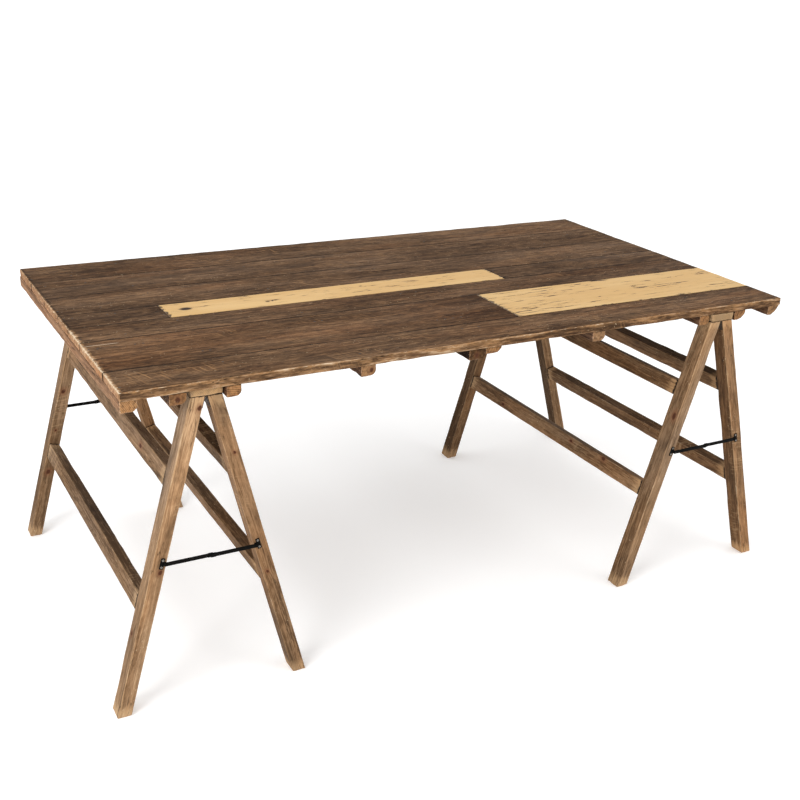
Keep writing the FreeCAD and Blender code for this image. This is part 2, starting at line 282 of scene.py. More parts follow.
class WoodFigure(Effect):
    """Streaks, rings, pores and knots of a length of wood."""

    title = "wood_figure"
    takes = (
        ("Grain", VECTOR, ORIGIN),
        ("Knot", VECTOR, FAR_OFF),
        ("Streak Width", FLOAT, 0.004),
        ("Ring Width", FLOAT, 0.008),
    )
    gives = ("Streaks", "Lines", "Rings", "End Rings", "Fibres", "Patches", "Mottle", "Knots", "Knot Halo")

    knot_pull = 6 * MM
    sway = Cloud((2.2, 9.0, 9.0), 2.0)
    sway_reach = 30 * MM
    streak_scale = 3.2
    streak_layers = (5.0, 0.62)
    lines = Cloud((9.0, 430.0, 430.0), 3.0, 0.6)
    arch = Cloud((1.3, 5.0, 5.0), 1.0)
    arch_reach = 60 * MM
    half_turn = 0.5
    ring_span = (0.05, 0.5)
    end_noise = Cloud((200.0, 320.0, 320.0), 2.0)
    end_noise_reach = 1.2 * MM
    end_ring_width = 3.4 * MM
    end_ring_span = (0.08, 0.42)
    fibres = Cloud((22.0, 700.0, 700.0), 3.0, 0.6)
    patches = Cloud((2.0, 11.0, 11.0), 4.0, 0.6)
    mottle = Cloud((38.0, 150.0, 150.0), 4.0, 0.7)
    knot_swing = 0.8
    knot_span = (1.1, 0.55)
    halo_span = (2.6, 0.7)

    def rings(self, web: Web, reach: Socket, width: Feed, span: Span) -> Socket:
        """Rings by the distance from the pith; the span is the part of half a ring that grows light."""
        return web.span(web.math("PINGPONG", web.math("DIVIDE", reach, width), self.half_turn), *span)

    def weave(self, web: Web, take: dict[str, Socket]) -> dict[str, Socket]:
        """Bend the grain round the knots, then read every scale of figure along it.

        Args:
            web: the group's tree.
            take: the group's inputs by name.

        Returns:
            What feeds each output, by name.
        """
        distance = web.length(take["Knot"])
        pull = web.math("DIVIDE", self.knot_pull, web.plus(1.0, web.times(distance, distance)))
        bent = web.vector("ADD", take["Grain"], web.grow(take["Knot"], pull))
        offset = web.swing(0.0, web.cloud(bent, self.sway), self.sway_reach)
        line = web.vector("ADD", bent, web.join(0.0, offset, offset))
        across = web.math("DIVIDE", 1.0, take["Streak Width"])
        streaks = web.cloud(line, Cloud(web.join(self.streak_scale, across, across), *self.streak_layers))
        _x, y, z = web.split(line)
        arch = web.plus(z, web.times(web.cloud(bent, self.arch), self.arch_reach))
        reach = web.math("SQRT", web.plus(web.times(y, y), web.times(arch, arch)))
        end_reach = web.plus(reach, web.times(web.cloud(bent, self.end_noise), self.end_noise_reach))
        ragged = web.swing(distance, streaks, self.knot_swing)
        return {
            "Streaks": streaks,
            "Lines": web.cloud(line, self.lines),
            "Rings": self.rings(web, reach, take["Ring Width"], self.ring_span),
            "End Rings": self.rings(web, end_reach, self.end_ring_width, self.end_ring_span),
            "Fibres": web.cloud(line, self.fibres),
            "Patches": web.cloud(bent, self.patches),
            "Mottle": web.cloud(bent, self.mottle),
            "Knots": web.span(ragged, *self.knot_span),
            "Knot Halo": web.span(ragged, *self.halo_span),
        }


class SawMarks(Effect):
    """Fine cuts across the grain, in patches."""

    title = "saw_marks"
    takes = (("Grain", VECTOR, ORIGIN), ("Scored", FLOAT, 0.0), ("Amount", FLOAT, 0.5))
    gives = ("Marks",)

    lean = 0.35
    cuts = Cloud((210.0, 17.0, 17.0), 2.0, 0.5)
    cut_span = (0.53, 0.63)
    patches = Cloud((5.0, 13.0, 13.0), 2.0, 0.5)
    patch_span = (0.55, 0.7)

    def weave(self, web: Web, take: dict[str, Socket]) -> dict[str, Socket]:
        """Thin slanting lines across the grain, kept to some patches of it and to the scored places.

        Args:
            web: the group's tree.
            take: the group's inputs by name.

        Returns:
            What feeds each output, by name.
        """
        x, y, z = web.split(take["Grain"])
        slant = web.plus(x, web.times(web.plus(y, z), self.lean))
        cuts = web.span(web.cloud(web.join(slant, y, z), self.cuts), *self.cut_span)
        patches = web.span(web.cloud(take["Grain"], self.patches), *self.patch_span)
        patches = web.times(patches, take["Amount"])
        return {"Marks": web.times(cuts, web.math("MAXIMUM", patches, take["Scored"]))}


class EdgeWear(Effect):
    """Bare, rubbed wood along the edges, broken up by the grain."""

    title = "edge_wear"
    takes = (("Grain", VECTOR, ORIGIN), ("Wear", FLOAT, 0.0), ("Amount", FLOAT, 1.0))
    gives = ("Rubbed", "Splinters")

    coarse = Cloud((14.0, 130.0, 130.0), 5.0, 0.7)
    coarse_swing = 1.5
    rubbed_span = (0.5, 0.85)
    fine = Cloud((110.0, 420.0, 420.0), 3.0, 0.6)
    fine_swing = 1.2
    splinter_span = (0.95, 1.25)

    def weave(self, web: Web, take: dict[str, Socket]) -> dict[str, Socket]:
        """Set the wear of the mesh against noise at two scales.

        Args:
            web: the group's tree.
            take: the group's inputs by name.

        Returns:
            What feeds each output, by name.
        """
        level = web.swing(take["Wear"], web.cloud(take["Grain"], self.coarse), self.coarse_swing)
        rubbed = web.times(web.span(level, *self.rubbed_span), take["Amount"], True)
        level = web.swing(level, web.cloud(take["Grain"], self.fine), self.fine_swing)
        splinters = web.times(web.span(level, *self.splinter_span), take["Amount"], True)
        return {"Rubbed": rubbed, "Splinters": splinters}


class Grime(Effect):
    """Dark stains, small dents and pale specks."""

    title = "grime"
    takes = (("Grain", VECTOR, ORIGIN), ("Amount", FLOAT, 0.5))
    gives = ("Stains", "Specks", "Dents")

    broad = Cloud((4.5, 17.0, 17.0), 5.0, 0.65)
    stain_span = (0.52, 0.72)
    clean_span = (0.6, 0.42)
    specks = Cloud((120.0, 260.0, 260.0), 2.0, 0.5)
    speck_span = (0.69, 0.73)
    speck_strength = 1.6
    dents = Cloud((38.0, 190.0, 190.0), 3.0, 0.6)
    dent_span = (0.66, 0.75)

    def weave(self, web: Web, take: dict[str, Socket]) -> dict[str, Socket]:
        """Broad stains, short dark dents along the grain and a few bright chips on the clean wood.

        Args:
            web: the group's tree.
            take: the group's inputs by name.

        Returns:
            What feeds each output, by name.
        """
        broad = web.cloud(take["Grain"], self.broad)
        specks = web.span(web.cloud(take["Grain"], self.specks), *self.speck_span)
        specks = web.times(specks, web.times(take["Amount"], self.speck_strength), True)
        dents = web.span(web.cloud(take["Grain"], self.dents), *self.dent_span)
        return {
            "Stains": web.times(web.span(broad, *self.stain_span), take["Amount"]),
            "Specks": web.times(specks, web.span(broad, *self.clean_span)),
            "Dents": web.times(dents, take["Amount"]),
        }


class Weathering(Effect):
    """Warm and grey casts of old wood, and dirt and painted contact shade where pieces meet."""

    title = "weathering"
    takes = (("Grain", VECTOR, ORIGIN), ("Tint", FLOAT, 0.0), ("Soot", FLOAT, 0.0), ("Wander", FLOAT, 2.6))
    gives = ("Warm", "Grey", "Dirt")

    broad = Cloud((3.1, 15.0, 15.0), 3.0, 0.55)
    ragged = Cloud((40.0, 160.0, 160.0), 3.0, 0.6)
    dirt_and_shade_swing = 0.9
    dirt_and_shade_span = (0.3, 0.75)

    def weave(self, web: Web, take: dict[str, Socket]) -> dict[str, Socket]:
        """Broad clouds of warm and grey, and a ragged border of dirt and painted shade.

        Args:
            web: the group's tree.
            take: the group's inputs by name.

        Returns:
            What feeds each output, by name.
        """
        cast = web.swing(take["Tint"], web.cloud(take["Grain"], self.broad), take["Wander"])
        dirt_and_shade = web.swing(take["Soot"], web.cloud(take["Grain"], self.ragged), self.dirt_and_shade_swing)
        return {
            "Warm": web.math("MAXIMUM", cast, 0.0, True),
            "Grey": web.math("MAXIMUM", web.times(cast, -1.0), 0.0, True),
            "Dirt": web.span(dirt_and_shade, *self.dirt_and_shade_span),
        }


class Cracks(Effect):
    """Dark cracks along the grain, more of them near the sawn ends."""

    title = "cracks"
    takes = (("Grain", VECTOR, ORIGIN), ("Tip", FLOAT, 0.0), ("Amount", FLOAT, 0.5))
    gives = ("Cracks",)

    bend = Cloud((5.0, 60.0, 60.0), 3.0, 0.6)
    line_span = (0.016, 0.004)
    spread = Cloud((6.0, 45.0, 45.0), 3.0, 0.6)
    tip_share = 0.18
    kept_span = (0.5, 0.62)

    def weave(self, web: Web, take: dict[str, Socket]) -> dict[str, Socket]:
        """Narrow bands about the middle value of a stretched noise, kept to some patches.

        Args:
            web: the group's tree.
            take: the group's inputs by name.

        Returns:
            What feeds each output, by name.
        """
        middle = web.minus(web.cloud(take["Grain"], self.bend), Cloud.middle)
        lines = web.span(web.math("ABSOLUTE", middle), *self.line_span)
        level = web.plus(web.cloud(take["Grain"], self.spread), web.times(take["Tip"], self.tip_share))
        return {"Cracks": web.times(web.times(lines, web.span(level, *self.kept_span)), take["Amount"])}


class Flaking(Effect):
    """Old paint that has come off along the grain and at the board's edges."""

    title = "flaking"
    takes = (("Grain", VECTOR, ORIGIN), ("Wear", FLOAT, 0.0), ("Amount", FLOAT, 0.5))
    gives = ("Paint", "Scuffs")

    rows = Cloud((3.0, 34.0, 34.0), 2.0, 0.5)
    row_swing = 0.42
    flakes = Cloud((15.0, 150.0, 150.0), 4.0, 0.6)
    amount_swing = 0.5
    gone_span = (0.652, 0.672)
    border = Cloud((45.0, 120.0, 120.0), 3.0, 0.6)
    border_swing = 1.9
    border_span = (0.74, 0.82)
    scuff_span = (0.53, 0.67)

    def weave(self, web: Web, take: dict[str, Socket]) -> dict[str, Socket]:
        """Long flakes in rows, and a ragged border.

        Args:
            web: the group's tree.
            take: the group's inputs by name.

        Returns:
            What feeds each output, by name.
        """
        flakes = web.cloud(take["Grain"], self.flakes)
        level = web.swing(flakes, web.cloud(take["Grain"], self.rows), self.row_swing)
        level = web.swing(level, take["Amount"], self.amount_swing)
        edge_level = web.swing(take["Wear"], web.cloud(take["Grain"], self.border), self.border_swing)
        gone = web.math("MAXIMUM", web.span(level, *self.gone_span), web.span(edge_level, *self.border_span))
        return {"Paint": web.minus(1.0, gone), "Scuffs": web.span(level, *self.scuff_span)}


class MetalAge(Effect):
    """Scratches, rubbed spots and rust on metal."""

    title = "metal_age"
    takes = (("Place", VECTOR, ORIGIN), ("Amount", FLOAT, 0.5))
    gives = ("Rubbed", "Rust", "Pits")

    pits = Cloud((900.0, 900.0, 900.0), 4.0, 0.65)
    broad = Cloud((160.0, 160.0, 160.0), 4.0, 0.6)
    lines = Cloud((150.0, 900.0, 1900.0), 2.0, 0.5)
    line_share = 0.4
    rubbed_span = (0.72, 0.9)
    rust_span = (0.55, 0.72)

    def weave(self, web: Web, take: dict[str, Socket]) -> dict[str, Socket]:
        """Noise at the scale of small ironware.

        Args:
            web: the group's tree.
            take: the group's inputs by name.

        Returns:
            What feeds each output, by name.
        """
        broad = web.cloud(take["Place"], self.broad)
        lines = web.plus(broad, web.times(web.cloud(take["Place"], self.lines), self.line_share))
        return {
            "Rubbed": web.times(web.span(lines, *self.rubbed_span), take["Amount"]),
            "Rust": web.times(web.span(broad, *self.rust_span), take["Amount"]),
            "Pits": web.cloud(take["Place"], self.pits),
        }


# Finishes
@dataclass(frozen=True)
class Finish:
    """A surface: what feeds one shader. Each kind has its own relief and relief_height."""

    slot: str

    def coat(self, web: Web) -> dict[str, Feed]:
        """What feeds the shader, by the names of its sockets, and the Height of the surface."""
        raise NotImplementedError

    def material(self) -> bpy.types.Material:
        """Make the material, with its shader.

        Returns:
            The material.
        """
        made = bpy.data.materials.new(self.slot)
        made.use_nodes = True
        web = Web(made.node_tree)
        skin = made.node_tree.nodes["Principled BSDF"]
        coat = self.coat(web)
        bump = {"Height": coat.pop("Height"), "Strength": self.relief, "Distance": self.relief_height}
        coat["Normal"] = web.add("ShaderNodeBump", bump).outputs[0]
        for name, value in coat.items():
            web.feed(skin.inputs[name], value)
        return made


@dataclass(frozen=True)
class WoodFinish(Finish):
    """Bare worn wood."""

    dark: Colour
    middle: Colour
    light: Colour
    rubbed: Colour
    end_grain: Colour
    knot: Colour
    core: Colour = shade(40, 25, 18)
    stain: Colour = shade(44, 33, 25)
    warm: Colour = (1.16, 0.93, 0.74)
    grey: Colour = (0.88, 0.97, 1.16)
    splinter: Colour = shade(220, 201, 174)
    dent: Colour = shade(34, 25, 19)
    crack: Colour = shade(30, 22, 17)
    # Colour of dirt, and of painted shade where pieces meet
    dirt_and_shade: Colour = shade(30, 23, 18)
    speck: Colour = shade(200, 176, 142)
    contrast: float = 0.8
    patches: float = 0.5
    mottle: float = 0.8
    tip_pale: float = 0.0
    wander: float = 2.6
    streak_width: float = 5 * MM
    ring_width: float = 9 * MM
    ring_depth: float = 0.35
    wear: float = 1.0
    grime: float = 0.5
    saw: float = 0.3
    cracks: float = 0.8
    fibre_depth: float = 0.5
    roughness: float = 0.74
    relief: float = 0.5
    relief_height: float = 1.2 * MM

    streak_share = 0.9
    line_share = 0.95
    darkest_figure = -0.1
    low_span = (-0.18, 0.02)
    high_span = (0.0, 0.22)
    fibre_span = (0.56, 0.36)
    end_ring_share = 0.4
    end_mottle = Cloud((90.0, 110.0, 110.0), 3.0, 0.65)
    end_mottle_span = (0.42, 0.62)
    end_mottle_share = 0.5
    # Painted shade and light: spans of tone over which the whole colour is darkened, and lightened
    shadow_span = (-0.5, 0.0, 0.25, 1.0)
    glow_span = (0.02, 0.2, 1.0, 1.25)
    tip_span = (0.15, 0.8)
    bare_share = 0.75
    bare_light_share = 0.4
    mark_share = 0.8
    splinter_share = 0.8
    halo_share = 0.5
    split_bend = 6 * MM
    split_width_span = (1.6 * MM, 0.7 * MM)
    split_length_span = (1.0, 0.75)
    split_share = 0.7
    speck_share = 0.7
    patch_span = (0.3, 0.7)
    gloss_swing = 0.1
    reflection = 0.06
    heights = (("Streaks", 0.6), ("Lines", 0.5), ("Fibres", 0.4), ("ring lines", 0.5),
               ("dents", -0.8), ("Knots", -0.4), ("cracks", -1.0), ("Marks", -0.5))

    def read(self, web: Web) -> dict[str, Socket]:
        """Read the mesh's attributes, and add the effects that they feed.

        Args:
            web: the material's tree.

        Returns:
            Attributes and effects by name.
        """
        parts = {name: web.attribute(name).outputs["Vector"] for name in ("grain", "knot", "split")}
        for name in ("wear", "tone", "sawn", "tip", "tint", "soot_and_shade", "scored"):
            parts[name] = web.attribute(name).outputs["Fac"]
        grain = parts["grain"]
        parts |= WoodFigure().place(
            web, Grain=grain, Knot=parts["knot"], Streak_Width=self.streak_width, Ring_Width=self.ring_width,
        )
        parts |= SawMarks().place(web, Grain=grain, Scored=parts["scored"], Amount=self.saw)
        parts |= EdgeWear().place(web, Grain=grain, Wear=parts["wear"], Amount=self.wear)
        parts |= Grime().place(web, Grain=grain, Amount=self.grime)
        parts |= Cracks().place(web, Grain=grain, Tip=parts["tip"], Amount=self.cracks)
        parts |= Weathering().place(
            web, Grain=grain, Tint=parts["tint"], Soot=parts["soot_and_shade"], Wander=self.wander,
        )
        whole = web.minus(1.0, parts["sawn"])
        parts["dents"] = web.times(parts["Dents"], whole)
        parts["cracks"] = web.times(parts["Cracks"], whole)
        parts["ring lines"] = web.times(web.minus(1.0, parts["Rings"]), self.ring_depth)
        return parts

    def figure(self, web: Web, parts: dict[str, Socket]) -> Socket:
        """Colour of the clean wood, and how its darker and lighter parts lie.

        Args:
            web: the material's tree.
            parts: attributes and effects by name, which gain "low" and "high".

        Returns:
            The colour.
        """
        level = web.math("MAXIMUM", parts["tone"], self.darkest_figure)
        for name, amount in (
            ("Streaks", self.streak_share * self.contrast), ("Lines", self.line_share * self.contrast),
            ("Patches", self.patches), ("Mottle", self.mottle),
        ):
            level = web.swing(level, parts[name], amount)
        parts["low"] = web.span(level, *self.low_span)
        parts["high"] = web.span(level, *self.high_span)
        fibres = web.times(web.span(parts["Fibres"], *self.fibre_span), self.fibre_depth)
        end_rings = web.times(web.minus(1.0, parts["End Rings"]), self.end_ring_share)
        end_mottle = web.span(web.cloud(parts["grain"], self.end_mottle), *self.end_mottle_span)
        end_level = web.math("ADD", end_rings, web.times(end_mottle, self.end_mottle_share), True)
        # Painted shade: a low tone darkens the colour like shadow on pieces and faces that the light misses; a
        # high one lightens it
        shadow, glow = (web.span(parts["tone"], *span) for span in (self.shadow_span, self.glow_span))
        return web.layers(
            self.dark,
            (parts["low"], self.middle),
            (parts["high"], self.light),
            (parts["ring lines"], self.dark),
            (fibres, self.dark),
            (parts["Stains"], self.stain),
            (parts["sawn"], web.blend(end_level, self.end_grain, self.dark)),
            (1.0, web.level(web.times(shadow, glow)), "MULTIPLY"),
        )

    def split(self, web: Web, parts: dict[str, Socket]) -> Socket:
        """Draw the long bent split of a board.

        Args:
            web: the material's tree.
            parts: attributes and effects by name.

        Returns:
            The split, from 0 to 1.
        """
        along, across, _through = web.split(parts["split"])
        bent = web.swing(across, parts["Streaks"], self.split_bend)
        width = web.span(web.math("ABSOLUTE", bent), *self.split_width_span)
        return web.times(width, web.span(web.math("ABSOLUTE", along), *self.split_length_span))

    def timber(self, web: Web) -> tuple[dict[str, Socket], Socket, Socket]:
        """Add the nodes of the bare wood.

        Args:
            web: the material's tree.

        Returns:
            What the mesh and the figure give by name, the colour, and the height.
        """
        parts = self.read(web)
        clean = self.figure(web, parts)
        pale = web.span(web.swing(parts["tip"], parts["Mottle"], 1.0), *self.tip_span)
        bare = web.layers(
            self.middle,
            (web.times(parts["low"], self.bare_share, True), self.rubbed),
            (web.times(parts["high"], self.bare_light_share), self.splinter),
        )
        colour = web.layers(
            clean,
            (web.times(pale, self.tip_pale), self.rubbed),
            (parts["Warm"], self.warm, "MULTIPLY"),
            (parts["Grey"], self.grey, "MULTIPLY"),
            (web.times(parts["Marks"], self.mark_share), self.rubbed),
            (parts["Rubbed"], bare),
            (web.times(parts["Splinters"], self.splinter_share), self.splinter),
            (web.times(parts["Knot Halo"], self.halo_share), self.knot),
            (parts["Knots"], self.core),
            (parts["dents"], self.dent),
            (parts["cracks"], self.crack),
            (web.times(self.split(web, parts), self.split_share), self.splinter),
            # Dirt, and painted shade where pieces meet
            (parts["Dirt"], self.dirt_and_shade),
            (web.times(parts["Specks"], self.speck_share), self.speck),
        )
        height = 0.0
        for name, share in self.heights:
            height = web.plus(height, web.times(parts[name], share))
        return parts, colour, height

    def coat(self, web: Web) -> dict[str, Feed]:
        """Colour, shine and height of the bare wood.

        Args:
            web: the material's tree.

        Returns:
            What feeds the shader, by the names of its sockets, and the height.
        """
        parts, colour, height = self.timber(web)
        dull, bright = self.roughness + self.gloss_swing, self.roughness - self.gloss_swing
        return {
            "Base Color": colour,
            "Roughness": web.span(parts["Patches"], *self.patch_span, dull, bright),
            "Specular IOR Level": self.reflection,
            "Height": height,
        }


@dataclass(frozen=True)
class PaintedFinish(WoodFinish):
    """Old flaked paint over worn wood."""

    paint: Colour = shade(226, 193, 128)
    dirty_paint: Colour = shade(203, 165, 100)
    pale_paint: Colour = shade(236, 210, 152)
    flaking: float = 0.5

    pale_span = (0.35, 0.7)
    dirty_span = (0.5, 0.75)
    dirty_share = 0.5
    scuff_share = 0.4
    stained_share = 0.25
    paint_roughness = 0.5
    paint_reflection = 0.2
    wood_height = 0.5
    paint_height = 0.45

    def coat(self, web: Web) -> dict[str, Feed]:
        """Lay the paint over the wood where it still holds.

        Args:
            web: the material's tree.

        Returns:
            What feeds the shader, by the names of its sockets, and the height.
        """
        parts, wood, height = self.timber(web)
        amount = web.plus(self.flaking, parts["tone"])
        peel = Flaking().place(web, Grain=parts["grain"], Wear=parts["wear"], Amount=amount)
        paint = web.layers(
            self.paint,
            (web.span(parts["Patches"], *self.pale_span), self.pale_paint),
            (web.times(web.span(parts["Streaks"], *self.dirty_span), self.dirty_share), self.dirty_paint),
            (web.times(peel["Scuffs"], self.scuff_share), self.dirty_paint),
            (web.times(parts["Knot Halo"], self.stained_share), self.dirty_paint),
        )
        held = web.times(peel["Paint"], web.minus(1.0, parts["Knots"]))
        held = web.times(held, web.minus(1.0, parts["sawn"]))
        return {
            "Base Color": web.blend(held, wood, paint),
            "Roughness": web.span(held, 0.0, 1.0, self.roughness, self.paint_roughness),
            "Specular IOR Level": self.paint_reflection,
            "Height": web.plus(web.times(height, self.wood_height), web.times(held, self.paint_height)),
        }


@dataclass(frozen=True)
class MetalFinish(Finish):
    """Aged ironware."""

    base: Colour
    rubbed: Colour
    rust: Colour
    metal: float = 1.0
    roughness: float = 0.45
    age: float = 0.6
    gloss: float = 0.3
    relief: float = 0.25
    relief_height: float = 0.4 * MM

    pit_span = (0.3, 0.7)
    polish = 0.1
    dullness = 0.15

    def coat(self, web: Web) -> dict[str, Feed]:
        """Colour, shine and pits of the metal.

        Args:
            web: the material's tree.

        Returns:
            What feeds the shader, by the names of its sockets, and the height.
        """
        place = web.add("ShaderNodeTexCoord").outputs["Object"]
        age = MetalAge().place(web, Place=place, Amount=self.age)
        low, high = self.roughness - self.polish, self.roughness + self.dullness
        return {
            "Base Color": web.layers(self.base, (age["Rust"], self.rust), (age["Rubbed"], self.rubbed)),
            "Metallic": self.metal,
            "Roughness": web.span(age["Pits"], *self.pit_span, low, high),
            "Specular IOR Level": self.gloss,
            "Height": age["Pits"],
        }


DARK_WOOD = WoodFinish(
    "dark_wood",
    dark=shade(58, 41, 28),
    middle=shade(98, 73, 51),
    light=shade(136, 104, 74),
    rubbed=shade(168, 126, 84),
    end_grain=shade(176, 132, 96),
    knot=shade(58, 38, 26),
    streak_width=7.2 * MM,
    ring_width=16 * MM,
    ring_depth=0.12,
    wear=0.9,
    grime=0.5,
    saw=0.3,
    cracks=0.85,
    fibre_depth=0.35,
    contrast=0.5,
    patches=0.6,
    mottle=0.85,
    wander=1.9,
)
OCHRE_PAINT = PaintedFinish(
    "ochre_paint",
    dark=shade(44, 34, 27),
    middle=shade(66, 52, 41),
    light=shade(92, 74, 56),
    rubbed=shade(118, 92, 62),
    end_grain=shade(150, 114, 76),
    knot=shade(92, 60, 34),
    paint=shade(200, 160, 100),
    dirty_paint=shade(172, 132, 76),
    pale_paint=shade(208, 172, 115),
    wear=0.5,
    grime=0.15,
    saw=0.2,
)
BATTEN_WOOD = WoodFinish(
    "batten_wood",
    dark=shade(74, 52, 37),
    middle=shade(122, 90, 65),
    light=shade(158, 121, 90),
    rubbed=shade(172, 132, 98),
    end_grain=shade(160, 119, 79),
    knot=shade(104, 68, 46),
    core=shade(74, 46, 32),
    streak_width=6 * MM,
    wear=0.6,
    grime=0.6,
    relief=0.7,
    fibre_depth=0.3,
    contrast=0.6,
    mottle=0.6,
)
TRESTLE_WOOD = WoodFinish(
    "trestle_wood",
    dark=shade(92, 69, 48),
    middle=shade(142, 112, 83),
    light=shade(180, 149, 116),
    rubbed=shade(190, 156, 116),
    end_grain=shade(176, 134, 86),
    knot=shade(118, 74, 50),
    core=shade(74, 44, 30),
    warm=(1.12, 0.94, 0.76),
    streak_width=5.5 * MM,
    ring_width=8.5 * MM,
    ring_depth=0.08,
    wear=0.45,
    grime=0.55,
    saw=0.4,
    cracks=0.6,
    fibre_depth=0.35,
    contrast=0.45,
    patches=0.45,
    mottle=0.45,
    tip_pale=0.45,
)
BLACK_IRON = MetalFinish(
    "black_iron", shade(6, 6, 5), shade(38, 34, 30), shade(20, 16, 13),
    metal=0.0, roughness=0.66, age=0.35, gloss=0.06,
)
HINGE_STEEL = MetalFinish(
    "hinge_steel", shade(74, 60, 48), shade(120, 106, 92), shade(88, 58, 40),
    metal=0.6, roughness=0.6, age=0.8,
)
SCREW_STEEL = MetalFinish(
    "screw_steel", shade(128, 122, 114), shade(178, 172, 164), shade(92, 72, 56),
    metal=0.8, roughness=0.45, age=0.5,
)
NAIL_STEEL = MetalFinish(
    "nail_steel", shade(58, 48, 40), shade(96, 84, 72), shade(62, 42, 30),
    metal=0.5, roughness=0.6, age=0.8,
)
FINISHES = (
    DARK_WOOD, OCHRE_PAINT, BATTEN_WOOD, TRESTLE_WOOD, BLACK_IRON, HINGE_STEEL, SCREW_STEEL, NAIL_STEEL,
)
MATERIALS: dict[str, bpy.types.Material] = {}


# Worn lengths of wood
X_AXIS = Vector((1, 0, 0))
Y_AXIS = Vector((0, 1, 0))
Z_AXIS = Vector((0, 0, 1))
SHARP = math.radians(35)


def axes(origin: Vector, along: Vector, across: Vector, through: Vector) -> Matrix:
    """Matrix from own axes, given by their origin and directions, to the object's frame."""
    return Matrix((*zip(along, across, through, origin), (0, 0, 0, 1)))


def finish_piece(name: str, bm: Mesh, slot: str, body: str, *nodes: str, sharp: float = SHARP) -> None:
    """Turn a mesh in the object's frame into a piece of the table.

    Args:
        name: the piece's name.
        bm: the mesh, which is freed.
        slot: slot of its finish.
        body: the body that it rides on.
        *nodes: the CAD nodes that it stands for.
        sharp: edges whose faces turn by more than this angle stay sharp.
    """
    mesh = bpy.data.meshes.new(name + "_mesh")
    for face in bm.faces:
        face.smooth = True
    for corner in bm.edges:
        corner.smooth = corner.calc_face_angle(0.0) < sharp
    bm.to_mesh(mesh)
    bm.free()
    mesh.materials.append(MATERIALS[slot])
    piece = bpy.data.objects.new(name if name not in bpy.data.objects else name + "_worn", mesh)
    bpy.context.scene.collection.objects.link(piece)
    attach(piece, body)
    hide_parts(*nodes)
    LOG.info("%s: %d faces on %s", piece.name, len(mesh.polygons), body)


class Side(Enum):
    """Faces of a length of wood in its own axes: along the grain, across it, and through it."""

    START = 0
    FINISH = 1
    NEAR = 2
    FAR = 3
    UNDER = 4
    OVER = 5


ENDS = (Side.START, Side.FINISH)
EDGES = (Side.NEAR, Side.FAR)
FACES = (Side.UNDER, Side.OVER)


def edge(first: Side, second: Side) -> frozenset:
    """Key of the edge between two faces."""
    return frozenset((first, second))


@dataclass(frozen=True)
class Arris:
    """How one edge of a length of wood is worn: rounded, chipped, cut off and rubbed bare."""

    radius: float = 1.3 * MM
    chip: float = 1.2 * MM
    step: float = 70 * MM
    cut: float = 0.0
    bare: float = 1.0
    reach: float = 2.2 * MM

    # Each noise has its pitch, its layer and, in the waver, its share
    waver = ((1.0, 0.3, 0.7), (4.3, 5.1, 0.4))
    gouge = (1.9, 9.7)
    gouge_start = 0.12
    gouge_gain = 2.2
    least_radius = 0.15 * MM
    bare_radii = 1.3

    def noise_at(self, place: float, row: float, pitch: float, layer: float) -> float:
        """One noise along the edge, from -1 to 1."""
        return noise.noise(Vector((pitch * place / self.step, row, layer)))

    def radius_at(self, place: float, row: float) -> float:
        """Radius of the worn edge at a place along it.

        Args:
            place: distance along the edge.
            row: number that tells this edge's noise from the others'.

        Returns:
            The radius.
        """
        if self.radius == 0:
            return 0.0
        wavering = sum(share * self.noise_at(place, row, pitch, layer) for pitch, layer, share in self.waver)
        gouged = max(0.0, self.noise_at(place, row, *self.gouge) - self.gouge_start) * self.gouge_gain
        return max(self.least_radius, self.radius * (1 + wavering) + self.chip * gouged)

    def wear(self, one: float, other: float, radius: float) -> tuple[float, float]:
        """Cut or round a point near the edge.

        Args:
            one: distance from the point to the first face.
            other: distance from the point to the second face.
            radius: radius of the edge at the point.

        Returns:
            Both distances afterwards.
        """
        if self.cut and one + other < self.cut:
            push = (self.cut - one - other) / 2
            return one + push, other + push
        far = math.hypot(radius - one, radius - other)
        if radius and one < radius and other < radius and far > radius:
            return radius - (radius - one) / far * radius, radius - (radius - other) / far * radius
        return one, other

    def bareness(self, one: float, other: float, radius: float) -> float:
        """How bare a point is at these distances from the two faces, below 0 beyond the bare wood."""
        reach = self.bare_radii * radius + self.reach
        return self.bare * (1 - math.hypot(one, other) / reach) if radius else 0.0


def around(first: tuple[Side, ...], second: tuple[Side, ...], arris: Arris) -> dict[frozenset, Arris]:
    """One kind of wear on every edge between two sets of faces."""
    return {edge(one, other): arris for one in first for other in second}


@dataclass(frozen=True)
class Flaw:
    """A knot, a scored place or a split: its place along, across and through the wood, and its reach."""

    along: float
    across: float
    through: float
    size: float = 6 * MM


@dataclass(frozen=True)
class Look:
    """What sets one piece of wood apart from its neighbours, with painted shade and light on some of its faces."""

    tone: float = 0.0
    tint: float = 0.0
    foot_tone: float = 0.0
    knots: tuple[Flaw, ...] = ()
    scores: tuple[Flaw, ...] = ()
    split: Optional[Flaw] = None
    # Painted shade: tone added on single faces that the light misses
    side_shades: dict[Side, float] = field(default_factory=dict)
    # Painted light: a greyer or warmer cast on single faces, as the key light gives
    side_light_tints: dict[Side, float] = field(default_factory=dict)


